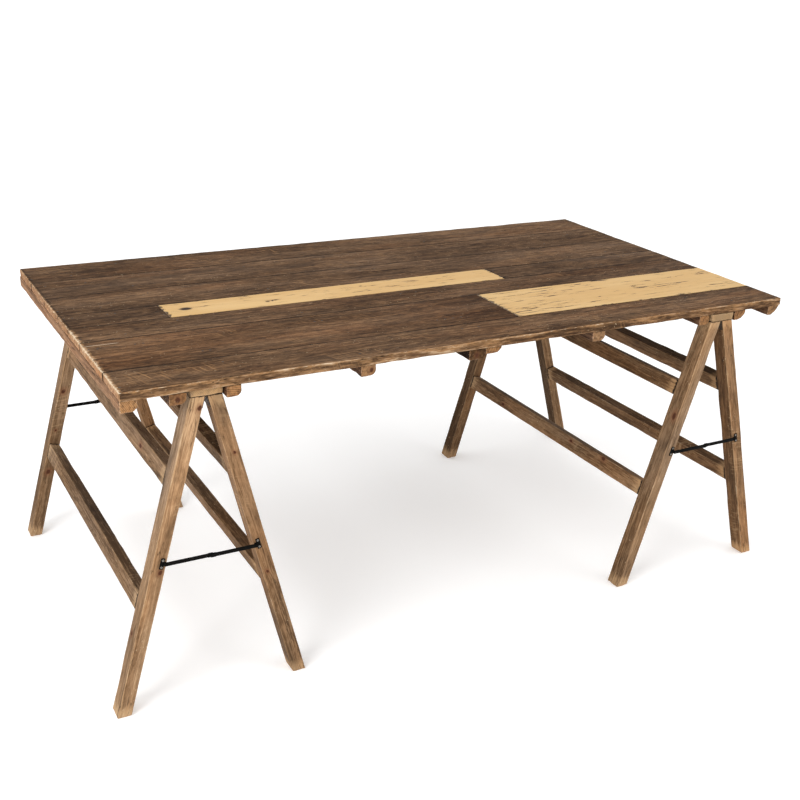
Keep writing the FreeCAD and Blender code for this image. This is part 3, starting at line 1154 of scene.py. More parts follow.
@dataclass
class Timber:
    """One worn length of wood that stands for a CAD node."""

    node: str
    body: str
    slot: str
    size: tuple[float, float, float]
    place: Matrix
    seed: int
    arrises: dict[frozenset, Arris] = field(default_factory=dict)
    plain: Arris = Arris()
    relief: dict[Side, float] = field(default_factory=dict)
    waves: dict[Side, float] = field(default_factory=dict)
    tears: dict[Side, float] = field(default_factory=dict)
    look: Look = Look()
    shear: float = 0.0
    step: float = 9 * MM
    side_step: float = 13 * MM
    scuffs: dict[Side, tuple[float, float]] = field(default_factory=dict)
    # Darkening where the wood meets other pieces: dirt at seams, painted contact shade under the planks
    soot_and_shade: dict[Side, tuple[float, float]] = field(default_factory=dict)
    tip_reach: float = 45 * MM
    band: float = 0.0

    band_inset = 6 * MM
    band_reach = 9 * MM
    band_drop = 3
    loops = (0.7 * MM, 1.7 * MM, 3.2 * MM, 5.2 * MM, 8 * MM, 12 * MM)
    end_loops = 5
    loop_room = 0.4 * MM
    long_share = 0.5
    touch = 0.01 * MM
    edge_reach = 24 * MM
    face_reach = 30 * MM
    knot_zone = 60 * MM
    knot_squash = Vector((0.62, 1.0, 0.8))
    score_squash = 1.6
    # Share of the seed that each edge, and each axis of the grain, starts from
    row_steps = (0.71, 1.9, 3.3)
    grain_steps = ((0.83, 7), (0.37, 3), (0.19, 2))
    # Cells along and across the grain, and share
    relief_level = 0.75
    relief_layers = ((190 * MM, 45 * MM, 0.6), (50 * MM, 12 * MM, 0.3))
    # Cells along the grain, shifts by seed and by face, and share
    wave_level = 0.5
    wave_layers = ((310 * MM, 1.7, 2.3, 0.9), (85 * MM, 2.9, 1.1, 0.35))
    # Cells across and through the wood, shift by seed, and share
    tear_level = 0.35
    tear_layers = ((11 * MM, 6 * MM, 1.3, 0.6), (60 * MM, 30 * MM, 2.1, 0.6))
    traits = ("grain", "knot", "wear", "tone", "sawn", "tip", "tint", "soot_and_shade", "scored", "split")
    vector_traits = ("grain", "knot", "split")

    def spots(self, extent: float, step: float) -> list[float]:
        """Places of the loops across one extent: close at both ends, even between them.

        Args:
            extent: the extent.
            step: about how far apart the even loops lie.

        Returns:
            Distances from one end.
        """
        ends = [loop for loop in self.loops if loop < extent / 2 - self.loop_room]
        room = extent - 2 * ends[-1]
        count = max(1, round(room / step))
        inner = [ends[-1] + room * turn / count for turn in range(1, count)]
        return ends + inner + [extent - loop for loop in ends]

    def block(self) -> Mesh:
        """Block with loops of edges where the wear needs them.

        Returns:
            The mesh, in the wood's own axes.
        """
        length, width, thickness = self.size
        bm = bmesh.new()
        bmesh.ops.create_cube(bm, size=1.0)
        bmesh.ops.translate(bm, verts=bm.verts, vec=(0.5, 0.5, 0.5))
        bmesh.ops.scale(bm, verts=bm.verts, vec=self.size)
        for axis, extent in ((1, width), (2, thickness)):
            for spot in self.spots(extent, self.side_step):
                self.slice(bm, axis, spot)
        long_edges = [
            link for link in bm.edges
            if abs(link.verts[0].co.x - link.verts[1].co.x) > self.long_share * length
        ]
        cuts = max(1, round(length / self.step) - 1)
        bmesh.ops.subdivide_edges(bm, edges=long_edges, cuts=cuts, use_grid_fill=True)
        for loop in self.loops[:self.end_loops]:
            self.slice(bm, 0, loop)
            self.slice(bm, 0, length - loop)
        return bm

    def slice(self, bm: Mesh, axis: int, spot: float) -> None:
        """Cut a loop of edges square to an axis.

        Args:
            bm: the mesh.
            axis: 0 along, 1 across, 2 through.
            spot: place of the loop on that axis.
        """
        normal = Vector((0, 0, 0))
        normal[axis] = 1
        geometry = bm.verts[:] + bm.edges[:] + bm.faces[:]
        bmesh.ops.bisect_plane(bm, geom=geometry, dist=WELD, plane_co=normal * spot, plane_no=normal)

    def hollow(self, side: int, gaps: list[float]) -> float:
        """How far a point of a face lies under the sawn face.

        Args:
            side: number of the face.
            gaps: distances from the point to the six faces.

        Returns:
            The depth, in metres.
        """
        which = Side(side)
        u, v, w = gaps[::2]
        depth = 0.0
        if which in self.relief:
            uneven = sum(
                share * noise.noise(Vector((u / run, v / cell + self.seed, w / cell + side)))
                for run, cell, share in self.relief_layers
            )
            depth += self.relief[which] * (self.relief_level + uneven)
        if which in self.waves:
            swell = sum(
                share * noise.noise(Vector((u / run, self.seed * turn, side * step)))
                for run, turn, step, share in self.wave_layers
            )
            depth += self.waves[which] * max(0.0, self.wave_level + swell)
        if which in self.tears:
            torn = sum(
                share * noise.noise(Vector((v / wide, w / deep, self.seed * turn + side)))
                for wide, deep, turn, share in self.tear_layers
            )
            depth += self.tears[which] * max(0.0, self.tear_level + torn)
        return depth

    def erode(self, gaps: list[float]) -> tuple[list[float], float]:
        """Wear one point of the surface.

        Args:
            gaps: distances from the point to the six faces.

        Returns:
            The new distances, and how worn the point is, from 0 to 1.
        """
        first = list(gaps)
        worn = 0.0
        close = [side for side in range(6) if first[side] < self.edge_reach]
        pairs = [(one, other) for one in close for other in close if other > one and one // 2 != other // 2]
        for one, other in pairs:
            arris = self.arrises.get(edge(Side(one), Side(other)), self.plain)
            # The numbers of the three axes add up to 3, and this is the one along the edge
            run = 3 - one // 2 - other // 2
            row = sum(step * number for step, number in zip(self.row_steps, (self.seed, one, other)))
            radius = arris.radius_at(first[2 * run], row)
            gaps[one], gaps[other] = arris.wear(gaps[one], gaps[other], radius)
            worn = max(worn, arris.bareness(first[one], first[other], radius))
        for side, (level, extent) in self.scuffs.items():
            worn = max(worn, level * (1 - first[side.value] / extent))
        for side in range(6):
            if first[side] < self.face_reach:
                gaps[side] += self.hollow(side, first) * (1 - first[side] / self.face_reach)
        return gaps, worn

    def knot_vector(self, point: Vector) -> Vector:
        """Place of a point as seen from the nearest knot, in knot sizes.

        Args:
            point: the point in the wood's own axes.

        Returns:
            The vector, long where no knot is near.
        """
        if not self.look.knots:
            return Vector(FAR_OFF)
        nearest = min(self.look.knots, key=lambda knot: abs(point.x - knot.along))
        away = point - Vector((nearest.along, nearest.across, nearest.through))
        if abs(away.x) > self.knot_zone:
            return Vector((math.copysign(FAR_OFF[0], away.x), *FAR_OFF[1:]))
        return away * self.knot_squash / nearest.size

    def scored(self, point: Vector) -> float:
        """How deep the scratches across the grain are at a point.

        Args:
            point: the point in the wood's own axes.

        Returns:
            The depth, from 0 to 1.
        """
        depths = [
            1 - math.hypot(point.x - score.along, self.score_squash * (point.y - score.across)) / score.size
            for score in self.look.scores
        ]
        return max([0.0] + depths)

    def dirt_and_shade(self, gaps: list[float]) -> float:
        """How dark a point is: dirt and painted contact shade where the wood meets another piece, and dirt in a
        band beside its start.

        Args:
            gaps: distances from the point to the six faces.

        Returns:
            The level, up to 1.
        """
        levels = [level * (1 - gaps[side.value] / extent) for side, (level, extent) in self.soot_and_shade.items()]
        off = abs(gaps[Side.START.value] - self.band_inset) + self.band_drop * gaps[Side.OVER.value]
        levels.append(self.band * (1 - off / self.band_reach))
        return max(0.0, *levels)

    def split_vector(self, point: Vector) -> Vector:
        """Place of a point as seen from the middle of the split.

        Args:
            point: the point in the wood's own axes.

        Returns:
            Half lengths of the split along it, and metres across it.
        """
        split = self.look.split
        if split is None:
            return Vector(FAR_OFF)
        return Vector(((point.x - split.along) / split.size, point.y - split.across, 0))

    def traits_at(self, point: Vector, gaps: list[float]) -> dict[str, Union[float, Vector]]:
        """What the shader reads at a point, but for its wear.

        Args:
            point: the point in the wood's own axes.
            gaps: distances from the point to the six faces.

        Returns:
            The values by name.
        """
        faces = [side for side in Side if gaps[side.value] < self.touch]
        tone = self.look.tone + self.look.foot_tone * (1 - point.x / self.size[0])
        start = Vector([self.seed * step % room for step, room in self.grain_steps])
        to_end = min(gaps[:2])
        return {
            "grain": point + Vector((self.shear * point.z, 0, 0)) + start,
            "knot": self.knot_vector(point),
            # Painted shade of the faces that the point lies on
            "tone": tone + sum(self.look.side_shades.get(side, 0.0) for side in faces),
            "sawn": 1.0 if to_end < self.touch else 0.0,
            "tip": max(0.0, 1 - to_end / self.tip_reach),
            # Painted light cast of the faces that the point lies on
            "tint": self.look.tint + sum(self.look.side_light_tints.get(side, 0.0) for side in faces),
            "soot_and_shade": self.dirt_and_shade(gaps),
            "scored": self.scored(point),
            "split": self.split_vector(point),
        }

    def build(self) -> None:
        """Make the piece, dress it and hand it to its body."""
        bm = self.block()
        store = {}
        for name in self.traits:
            kind = bm.verts.layers.float_vector if name in self.vector_traits else bm.verts.layers.float
            store[name] = kind.new(name)
        for vert in bm.verts:
            point = vert.co.copy()
            gaps = [gap for place, extent in zip(point, self.size) for gap in (place, extent - place)]
            for name, value in self.traits_at(point, gaps).items():
                vert[store[name]] = value
            gaps, vert[store["wear"]] = self.erode(gaps)
            vert.co = [
                low + (extent - low - high) * (place / extent)
                for low, high, extent, place in zip(gaps[::2], gaps[1::2], self.size, point)
            ]
        bm.transform(self.place)
        if self.place.determinant() < 0:
            bmesh.ops.reverse_faces(bm, faces=bm.faces)
        finish_piece(self.node, bm, self.slot, self.body, self.node, sharp=math.pi)


# Helpers for small ironware
def islands(name: str) -> list[list[Vector]]:
    """Corner points of each separate solid of a CAD node.

    Args:
        name: the node.

    Returns:
        One list of points for each solid.
    """
    bm = bmesh.new()
    bm.from_mesh(frame["nodes"][name].data)
    bm.transform(frame["nodes"][name].matrix_world)
    bmesh.ops.remove_doubles(bm, verts=bm.verts, dist=WELD)
    bm.verts.index_update()
    seen = set()
    found = []
    for first in bm.verts:
        if first.index in seen:
            continue
        seen.add(first.index)
        waiting = [first]
        points = []
        while waiting:
            vert = waiting.pop()
            points.append(vert.co.copy())
            for link in vert.link_edges:
                other = link.other_vert(vert)
                if other.index not in seen:
                    seen.add(other.index)
                    waiting.append(other)
        found.append(points)
    bm.free()
    return found


def middle_of(points: list[Vector]) -> Vector:
    """Mean of some points."""
    return sum(points, Vector()) / len(points)


def stand(place: Vector, way: Vector) -> Matrix:
    """Matrix that stands an upright shape at a place, with its height along this way."""
    return Matrix.Translation(place) @ Z_AXIS.rotation_difference(way).to_matrix().to_4x4()


def edges_at(corners: list[bmesh.types.BMVert]) -> list[bmesh.types.BMEdge]:
    """Each edge at these corners once, in the same order in every run."""
    return list(dict.fromkeys(link for vert in corners for link in vert.link_edges))


def round_off(bm: Mesh, links: list[bmesh.types.BMEdge], radius: float) -> None:
    """Round some edges of a mesh."""
    bmesh.ops.bevel(bm, geom=links, offset=radius, segments=2, profile=0.5, affect="EDGES", material=-1)


def add_block(bm: Mesh, low: tuple, high: tuple, rounding: float) -> None:
    """Add a block with rounded edges.

    Args:
        bm: the mesh.
        low: its lowest corner.
        high: its highest corner.
        rounding: radius of its edges.
    """
    made = bmesh.ops.create_cube(bm, size=1.0)["verts"]
    bmesh.ops.scale(bm, verts=made, vec=Vector(high) - Vector(low))
    bmesh.ops.translate(bm, verts=made, vec=(Vector(low) + Vector(high)) / 2)
    round_off(bm, edges_at(made), rounding)


def add_disc(bm: Mesh, start: Vector, end: Vector, radius: float, rounding: float = 0.0,
             far_radius: Optional[float] = None) -> None:
    """Add a round disc, rod or cone.

    Args:
        bm: the mesh.
        start: middle of its first face.
        end: middle of its last face.
        radius: its radius at the start.
        rounding: radius of its rims.
        far_radius: its radius at the end, where it differs.
    """
    run = end - start
    made = bmesh.ops.create_cone(
        bm, cap_ends=True, segments=DISC_SIDES, radius1=radius,
        radius2=radius if far_radius is None else far_radius, depth=run.length,
        matrix=stand((start + end) / 2, run),
    )["verts"]
    if rounding:
        rims = [
            link for link in edges_at(made)
            if any(len(face.verts) == DISC_SIDES for face in link.link_faces)
        ]
        round_off(bm, rims, rounding)


def pour(source: Mesh, target: Mesh) -> None:
    """Add one mesh to another and free it.

    Args:
        source: the mesh that is added.
        target: the mesh that it is added to.
    """
    mesh = bpy.data.meshes.new("poured_mesh")
    source.to_mesh(mesh)
    source.free()
    target.from_mesh(mesh)
    bpy.data.meshes.remove(mesh)


# Each piece's look: tone, tint, tone at the foot, then its knots, scratches and sides
# Painted shade: the lowest tones, on the middle batten and the right cap under the top, and the side shades darken
# what the light misses; the side light tints paint the key light's cast
IN_SHADE = {Side.FAR: -0.16}
LOOKS = {
    "front_plank": Look(-0.03, 0.1, 0.05, scores=(
        Flaw(0.08, 0.063, 0.0, 75 * MM),
        Flaw(0.2, 0.07, 0.0, 55 * MM),
        Flaw(1.22, 0.05, 0.0, 60 * MM),
    )),
    "front_wide_plank": Look(
        -0.07, 0.3, 0.12, scores=(Flaw(0.33, 0.15, 0.0, 45 * MM),), split=Flaw(0.042, 0.172, 0.0, 42 * MM),
    ),
    "middle_plank": Look(
        -0.05, 0.1, 0.06, (Flaw(0.144, 0.053, 0.02, 4 * MM), Flaw(0.9, 0.03, 0.02, 3 * MM)),
    ),
    "short_left_plank": Look(-0.02, -0.15),
    "long_right_plank": Look(-0.02, -0.1, knots=(Flaw(0.25, 0.04, 0.02, 4 * MM),)),
    "back_inner_plank": Look(scores=(Flaw(0.66, 0.06, 0.0, 50 * MM),)),
    "back_centre_plank": Look(0.03, -0.1, -0.05, (Flaw(0.75, 0.06, 0.02, 4 * MM),)),
    "back_edge_plank": Look(0.04, 0.05, -0.05, scores=(Flaw(0.7, 0.09, 0.0, 70 * MM),)),
    "painted_narrow_plank": Look(0.01, knots=(
        Flaw(0.054, 0.051, 0.02, 12 * MM),
        Flaw(0.261, 0.034, 0.02, 4.2 * MM),
        Flaw(0.284, 0.04, 0.02, 4.4 * MM),
        Flaw(0.54, 0.075, 0.02, 3 * MM),
    )),
    "painted_wide_plank": Look(0.02, knots=(Flaw(0.297, 0.065, 0.02, 3 * MM),)),
    "left_end_batten": Look(0.1),
    "left_outer_flank_batten": Look(-0.19, 0.3, knots=(Flaw(0.0, 0.018, 0.012, 6 * MM),)),
    "left_inner_flank_batten": Look(-0.08, 0.1),
    "mid_left_batten": Look(-0.04, -0.5, knots=(Flaw(0.0, 0.026, 0.014, 5 * MM),)),
    "middle_batten": Look(-0.5, 0.1, knots=(Flaw(0.0, 0.02, 0.012, 5 * MM),)),
    "middle_cleat": Look(-0.14, 0.1),
    "mid_right_batten": Look(-0.08, -0.5),
    "right_inner_flank_batten": Look(-0.12, 0.1),
    "right_outer_flank_batten": Look(-0.14, 0.1),
    "right_end_batten": Look(-0.14),
    "left_cap_board": Look(-0.04, -0.3),
    "right_cap_board": Look(-0.5, 0.1),
    "left_outer_near_leg": Look(
        0.1, 0.0, -0.08,
        (Flaw(0.738, 0.0, 0.006, 4.5 * MM), Flaw(0.358, 0.0, 0.01, 4 * MM), Flaw(0.2, 0.03, 0.032, 4 * MM)),
        side_light_tints={Side.OVER: -0.45, Side.NEAR: 0.1}, side_shades={Side.OVER: -0.03},
    ),
    "left_inner_near_leg": Look(
        -0.04, 0.05, -0.04, (Flaw(0.62, 0.0, 0.02, 3 * MM), Flaw(0.3, 0.0, 0.012, 3 * MM)),
        side_light_tints={Side.NEAR: 0.1},
    ),
    "left_outer_far_leg": Look(
        -0.03, 0.0, -0.06,
        (Flaw(0.445, 0.0, 0.02, 5 * MM), Flaw(0.328, 0.0, 0.02, 2.5 * MM), Flaw(0.201, 0.0, 0.018, 5 * MM)),
    ),
    "left_inner_far_leg": Look(-0.04, 0.25, knots=(Flaw(0.62, 0.0, 0.02, 4 * MM),)),
    "left_outer_lower_rail": Look(-0.06, -0.3, side_shades=IN_SHADE),
    "left_outer_upper_rail": Look(
        -0.06, -0.3, knots=(Flaw(0.18, 0.02, 0.029, 6 * MM),), side_shades={Side.FAR: -0.08},
    ),
    "left_inner_lower_rail": Look(-0.08, 0.2, side_shades=IN_SHADE),
    "left_inner_upper_rail": Look(-0.1, 0.2, knots=(Flaw(0.3, 0.02, 0.029, 5 * MM),), side_shades=IN_SHADE),
    "right_inner_near_leg": Look(
        0.05, -0.1, -0.12, (Flaw(0.502, 0.014, 0.032, 7 * MM),), side_shades={Side.OVER: -0.08},
    ),
    "right_outer_near_leg": Look(-0.01, 0.65, side_shades={Side.UNDER: -0.22}),
    "right_inner_far_leg": Look(-0.14, 0.25, side_shades={Side.OVER: -0.18}),
    "right_outer_far_leg": Look(
        0.0, 0.1, knots=(Flaw(0.5, 0.0, 0.02, 5 * MM),), side_shades={Side.UNDER: -0.28},
    ),
    "right_inner_lower_rail": Look(
        -0.06, 0.4, knots=(
            Flaw(0.682, 0.012, 0.029, 5 * MM),
            Flaw(0.323, 0.029, 0.029, 5 * MM),
            Flaw(0.171, 0.036, 0.029, 6 * MM),
        ),
        side_shades=IN_SHADE,
    ),
    "right_inner_upper_rail": Look(-0.12, 0.35, side_shades=IN_SHADE),
    "right_outer_lower_rail": Look(-0.13, 0.4, side_shades=IN_SHADE),
    "right_outer_upper_rail": Look(-0.16, 0.2, side_shades=IN_SHADE),
}


# Top and trestles
@dataclass
class TableTop:
    """The loose top: planks and the battens under them."""

    rows: tuple[tuple[str, ...], ...] = (
        ("front_plank",),
        ("front_wide_plank", "painted_wide_plank"),
        ("middle_plank",),
        ("short_left_plank", "painted_narrow_plank", "long_right_plank"),
        ("back_inner_plank",),
        ("back_centre_plank",),
        ("back_edge_plank",),
    )
    battens: tuple[str, ...] = (
        "left_end_batten", "left_outer_flank_batten", "left_inner_flank_batten", "mid_left_batten",
        "middle_batten", "middle_cleat", "mid_right_batten", "right_inner_flank_batten",
        "right_outer_flank_batten", "right_end_batten",
    )
    cuts: dict[str, float] = field(default_factory=lambda: {
        "right_end_batten": 26 * MM, "right_outer_flank_batten": 20 * MM, "middle_cleat": 15 * MM,
    })
    usual_cut: float = 11 * MM
    pale_rows: int = 3
    pale_band: float = 0.4
    dark_band: float = 0.6
    first_seed: int = 3
    row_seeds: int = 4
    batten_seed: int = 40
    outer_edge: Arris = Arris(3.6 * MM, 3.4 * MM, 100 * MM, reach=3 * MM)
    lower_edge: Arris = Arris(2.0 * MM, 2.8 * MM, 80 * MM)
    left_end: Arris = Arris(2.8 * MM, 4.4 * MM, 22 * MM, bare=1.3, reach=11 * MM)
    left_back_end: Arris = Arris(2.6 * MM, 4.4 * MM, 22 * MM, bare=1.1, reach=4 * MM)
    right_end: Arris = Arris(2.6 * MM, 1.6 * MM, 60 * MM, bare=0.8)
    seam: Arris = Arris(0.5 * MM, 1.3 * MM, 160 * MM, bare=0.0)
    paint_seam: Arris = Arris(0.5 * MM, 1.3 * MM, 100 * MM, bare=0.62, reach=3.5 * MM)
    paint_end: Arris = Arris(0.6 * MM, 0.8 * MM, 30 * MM, bare=1.0, reach=17 * MM)
    left_front_corner: Arris = Arris(6 * MM, 2 * MM, 20 * MM)
    left_back_corner: Arris = Arris(12 * MM, 2 * MM, 20 * MM)
    right_corner: Arris = Arris(4 * MM, 2 * MM, 20 * MM)
    left_tear: float = 1.8 * MM
    right_tear: float = 1.0 * MM
    long_wave: float = 1.8 * MM
    face_relief: float = 0.45 * MM
    long_scuff: tuple[float, float] = (0.64, 20 * MM)
    end_scuff: tuple[float, float] = (0.6, 12 * MM)
    bare_underside: tuple[float, float] = (1.8, 6 * MM)
    seam_soot: tuple[float, float] = (1.0, 4 * MM)
    # Painted contact shade along the tops of the battens' sides, under the planks
    batten_contact_shade: tuple[float, float] = (1.0, 3 * MM)
    batten_edge: Arris = Arris(0.8 * MM, 1.2 * MM, 60 * MM)
    batten_edges: dict[frozenset, Arris] = field(default_factory=lambda: {
        edge(Side.NEAR, Side.UNDER): Arris(2.4 * MM, 2.4 * MM, 50 * MM),
        edge(Side.START, Side.UNDER): Arris(2.6 * MM, 2.0 * MM, 12 * MM),
        edge(Side.START, Side.FAR): Arris(2.6 * MM, 2.0 * MM, 12 * MM),
        edge(Side.START, Side.NEAR): Arris(1.6 * MM, 1.6 * MM, 12 * MM),
        edge(Side.START, Side.OVER): Arris(0.5 * MM, 1.0 * MM, 12 * MM),
        edge(Side.NEAR, Side.OVER): Arris(0.3 * MM, 0.4 * MM, 30 * MM, bare=0.0),
    })
    cut_edge_radius: float = 2 * MM
    cut_edge_step: float = 50 * MM
    batten_relief: dict[Side, float] = field(default_factory=lambda: {
        Side.NEAR: 0.5 * MM, Side.FAR: 0.4 * MM, Side.UNDER: 0.6 * MM,
    })
    batten_tear: float = 1.2 * MM

    def plank(self, row: int, turn: int, name: str) -> Timber:
        """One plank of a row.

        Args:
            row: number of the row from the front.
            turn: number of the plank in it from the left.
            name: its CAD node.

        Returns:
            The plank, not built yet.
        """
        low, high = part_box(name)
        worn = {}
        tears = {}
        waves = {}
        if turn == 0:
            tears[Side.START] = self.left_tear
            worn[edge(Side.START, Side.OVER)] = self.left_end if row < self.pale_rows else self.left_back_end
            worn[edge(Side.START, Side.UNDER)] = self.right_end
        if turn == len(self.rows[row]) - 1:
            tears[Side.FINISH] = self.right_tear
            worn |= around((Side.FINISH,), FACES, self.right_end)
        for index, side, corner in (
            (0, Side.NEAR, self.left_front_corner), (len(self.rows) - 1, Side.FAR, self.left_back_corner),
        ):
            if row == index:
                waves[side] = self.long_wave
                worn[edge(side, Side.OVER)] = self.outer_edge
                worn[edge(side, Side.UNDER)] = self.lower_edge
                worn[edge(side, Side.START)] = corner
                worn[edge(side, Side.FINISH)] = self.right_corner
        painted = name.startswith("painted")
        scuffs = dict.fromkeys(waves, self.long_scuff) | dict.fromkeys(tears, self.end_scuff)
        hidden = [side for side in ENDS + EDGES if side not in tears and side not in waves]
        if painted:
            scuffs[Side.UNDER] = self.bare_underside
            worn = around(ENDS, (Side.OVER,), self.paint_end) | worn
        return Timber(
            name, "table_top", "ochre_paint" if painted else "dark_wood", tuple(high - low),
            Matrix.Translation(low), seed=self.first_seed + row * self.row_seeds + turn, arrises=worn,
            plain=self.paint_seam if painted else self.seam, relief={Side.OVER: self.face_relief},
            waves=waves, tears=tears, scuffs=scuffs, look=LOOKS[name], band=self.band_of(row, turn),
            soot_and_shade={} if painted else dict.fromkeys(hidden, self.seam_soot),
        )

    def band_of(self, row: int, turn: int) -> float:
        """How dark the broken band beside the left end is on a plank.

        Args:
            row: number of its row from the front.
            turn: number of the plank in it from the left.

        Returns:
            The level.
        """
        if turn:
            return 0.0
        return self.pale_band if row < self.pale_rows else self.dark_band

    def cross_batten(self, index: int, name: str) -> Timber:
        """One batten under the planks.

        Args:
            index: its number from the left.
            name: its CAD node.

        Returns:
            The batten, not built yet.
        """
        low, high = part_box(name)
        size = high - low
        cut = Arris(self.cut_edge_radius, 0, self.cut_edge_step, self.cuts.get(name, self.usual_cut))
        return Timber(
            name, "table_top", "batten_wood", (size.y, size.x, size.z),
            axes(low, Y_AXIS, X_AXIS, Z_AXIS), seed=self.batten_seed + index, plain=self.batten_edge,
            arrises=self.batten_edges | {edge(Side.FAR, Side.UNDER): cut}, relief=self.batten_relief,
            tears=dict.fromkeys(ENDS, self.batten_tear), look=LOOKS[name],
            soot_and_shade={} if name.endswith("end_batten") else {Side.OVER: self.batten_contact_shade},
        )

    def build(self) -> None:
        """Make every plank and batten."""
        for row, names in enumerate(self.rows):
            for turn, name in enumerate(names):
                self.plank(row, turn, name).build()
        for index, name in enumerate(self.battens):
            self.cross_batten(index, name).build()


class Hand(Enum):
    """The two trestles: word in their nodes' names, way out along the table, and first seed."""

    LEFT = ("left", -1, 60)
    RIGHT = ("right", 1, 80)


class Leaf(Enum):
    """The two frames of a trestle: word in their nodes' names, way that they lean, and body."""

    OUTER = ("outer", 1, "trestle")
    INNER = ("inner", -1, "inner_frame")


class Row(Enum):
    """Near and far legs and stays: word in their nodes' names, and way out across the table."""

    NEAR = ("near", -1)
    FAR = ("far", 1)


class Level(Enum):
    """The two rails of a frame: word in their nodes' names."""

    LOWER = "lower"
    UPPER = "upper"


@dataclass
class Trestle:
    """One folding trestle: cap, legs and rails."""

    hand: Hand
    half_gap: float = 2.9 * MM
    leg_thickness: float = 32 * MM
    leg_depth: float = 44 * MM
    rail_height: float = 41 * MM
    rail_inset: float = 1.5 * MM
    rises: dict[Leaf, dict[Level, float]] = field(default_factory=lambda: {
        Leaf.OUTER: {Level.LOWER: 250 * MM, Level.UPPER: 548 * MM},
        Leaf.INNER: {Level.LOWER: 260 * MM, Level.UPPER: 553 * MM},
    })
    leg_edge: Arris = Arris(1.8 * MM, 2.4 * MM, 130 * MM)
    foot_edge: Arris = Arris(3.4 * MM, 3.0 * MM, 20 * MM)
    leg_top_edge: Arris = Arris(0.6 * MM, 0.4 * MM, 20 * MM)
    rail_edge: Arris = Arris(2.0 * MM, 2.2 * MM, 120 * MM)
    sharp_edge: Arris = Arris(0.0, 0.0)
    cap_edge: Arris = Arris(1.4 * MM, 1.6 * MM, 50 * MM)
    cap_rim: Arris = Arris(2.2 * MM, 2.4 * MM, 20 * MM)
    cap_corner: Arris = Arris(6 * MM, 2.5 * MM, 20 * MM)
    leg_relief: dict[Side, float] = field(default_factory=lambda: {
        Side.NEAR: 0.5 * MM, Side.FAR: 0.5 * MM, Side.UNDER: 0.4 * MM, Side.OVER: 0.5 * MM,
    })
    rail_relief: float = 0.35 * MM
    cap_relief: float = 0.5 * MM
    cap_tear: float = 1.6 * MM
    foot_scuff: tuple[float, float] = (0.95, 80 * MM)
    # Darkening at the leg tops under the cap and at the rail ends against the legs
    leg_top_darkening: tuple[float, float] = (1.0, 6 * MM)
    rail_end_darkening: tuple[float, float] = (1.0, 12 * MM)

    def __post_init__(self) -> None:
        """Read the hinge's place and the splay from the fold joint."""
        self.name, self.side, first_seed = self.hand.value
        self.seeds = count(first_seed)
        fold = next(joint for joint in frame["joints"] if joint["name"] == f"{self.name}_fold")
        self.hinge = Vector(fold["pos_m"])
        self.splay = math.radians(fold["range_deg"][1]) / 2

    def lean(self, leaf: Leaf) -> tuple[Vector, Vector]:
        """Directions up a leg and out of the fold plane.

        Args:
            leaf: the leg's frame.

        Returns:
            The two directions.
        """
        _word, outward, _body = leaf.value
        sense = outward * self.side
        up = Vector((-sense * math.sin(self.splay), 0, math.cos(self.splay)))
        out = Vector((sense * math.cos(self.splay), 0, math.sin(self.splay)))
        return up, out

    def foot(self, depth: float) -> float:
        """Distance up the leg from the hinge to the floor, at a depth from the fold plane."""
        return (-self.hinge.z - depth * math.sin(self.splay)) / math.cos(self.splay)

    def leg(self, leaf: Leaf, row: Row) -> Timber:
        """One leg.

        Args:
            leaf: its frame.
            row: near or far.

        Returns:
            The leg, not built yet.
        """
        node = f"{self.name}_{leaf.value[0]}_{row.value[0]}_leg"
        low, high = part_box(node)
        up, out = self.lean(leaf)
        slope = -math.tan(self.splay)
        origin = Vector((self.hinge.x, low.y, self.hinge.z))
        origin += out * self.half_gap + up * self.foot(self.half_gap)
        worn = around(EDGES, FACES, self.leg_edge) | around((Side.START,), EDGES + FACES, self.foot_edge)
        return Timber(
            node, f"{self.name}_{leaf.value[-1]}", "trestle_wood",
            (high.z / math.cos(self.splay), self.leg_depth, self.leg_thickness),
            axes(origin, up, Y_AXIS, out + up * slope), next(self.seeds), worn, self.leg_top_edge,
            self.leg_relief, look=LOOKS[node], shear=slope, scuffs={Side.START: self.foot_scuff},
            soot_and_shade={Side.FINISH: self.leg_top_darkening},
        )

    def rail(self, leaf: Leaf, level: Level) -> Timber:
        """One rail between the two legs of a frame.

        Args:
            leaf: its frame.
            level: lower or upper.

        Returns:
            The rail, not built yet.
        """
        word = leaf.value[0]
        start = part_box(f"{self.name}_{word}_near_leg")[1].y
        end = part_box(f"{self.name}_{word}_far_leg")[0].y
        up, out = self.lean(leaf)
        low = self.foot(self.half_gap + self.leg_thickness) + self.rises[leaf][level]
        origin = Vector((self.hinge.x, start, self.hinge.z))
        origin += out * (self.half_gap + self.rail_inset) + up * low
        node = f"{self.name}_{word}_{level.value}_rail"
        return Timber(
            node, f"{self.name}_{leaf.value[-1]}", "trestle_wood",
            (end - start, self.rail_height, self.leg_thickness - 2 * self.rail_inset),
            axes(origin, Y_AXIS, up, out), next(self.seeds), around(ENDS, EDGES + FACES, self.sharp_edge),
            self.rail_edge, dict.fromkeys(EDGES + FACES, self.rail_relief), look=LOOKS[node],
            soot_and_shade=dict.fromkeys(ENDS, self.rail_end_darkening),
        )

    def cap(self) -> Timber:
        """The cap board on the leg tops.

        Returns:
            The board, not built yet.
        """
        node = f"{self.name}_cap_board"
        low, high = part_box(node)
        size = high - low
        worn = around(ENDS, EDGES, self.cap_corner) | around(ENDS, FACES, self.cap_rim)
        return Timber(
            node, f"{self.name}_trestle", "trestle_wood", (size.y, size.x, size.z),
            axes(low, Y_AXIS, X_AXIS, Z_AXIS), next(self.seeds), worn, self.cap_edge,
            dict.fromkeys(EDGES, self.cap_relief), tears=dict.fromkeys(ENDS, self.cap_tear),
            look=LOOKS[node],
        )

    def build(self) -> None:
        """Make the cap, the legs and the rails."""
        self.cap().build()
        for leaf in Leaf:
            for row in Row:
                self.leg(leaf, row).build()
            for level in Level:
                self.rail(leaf, level).build()


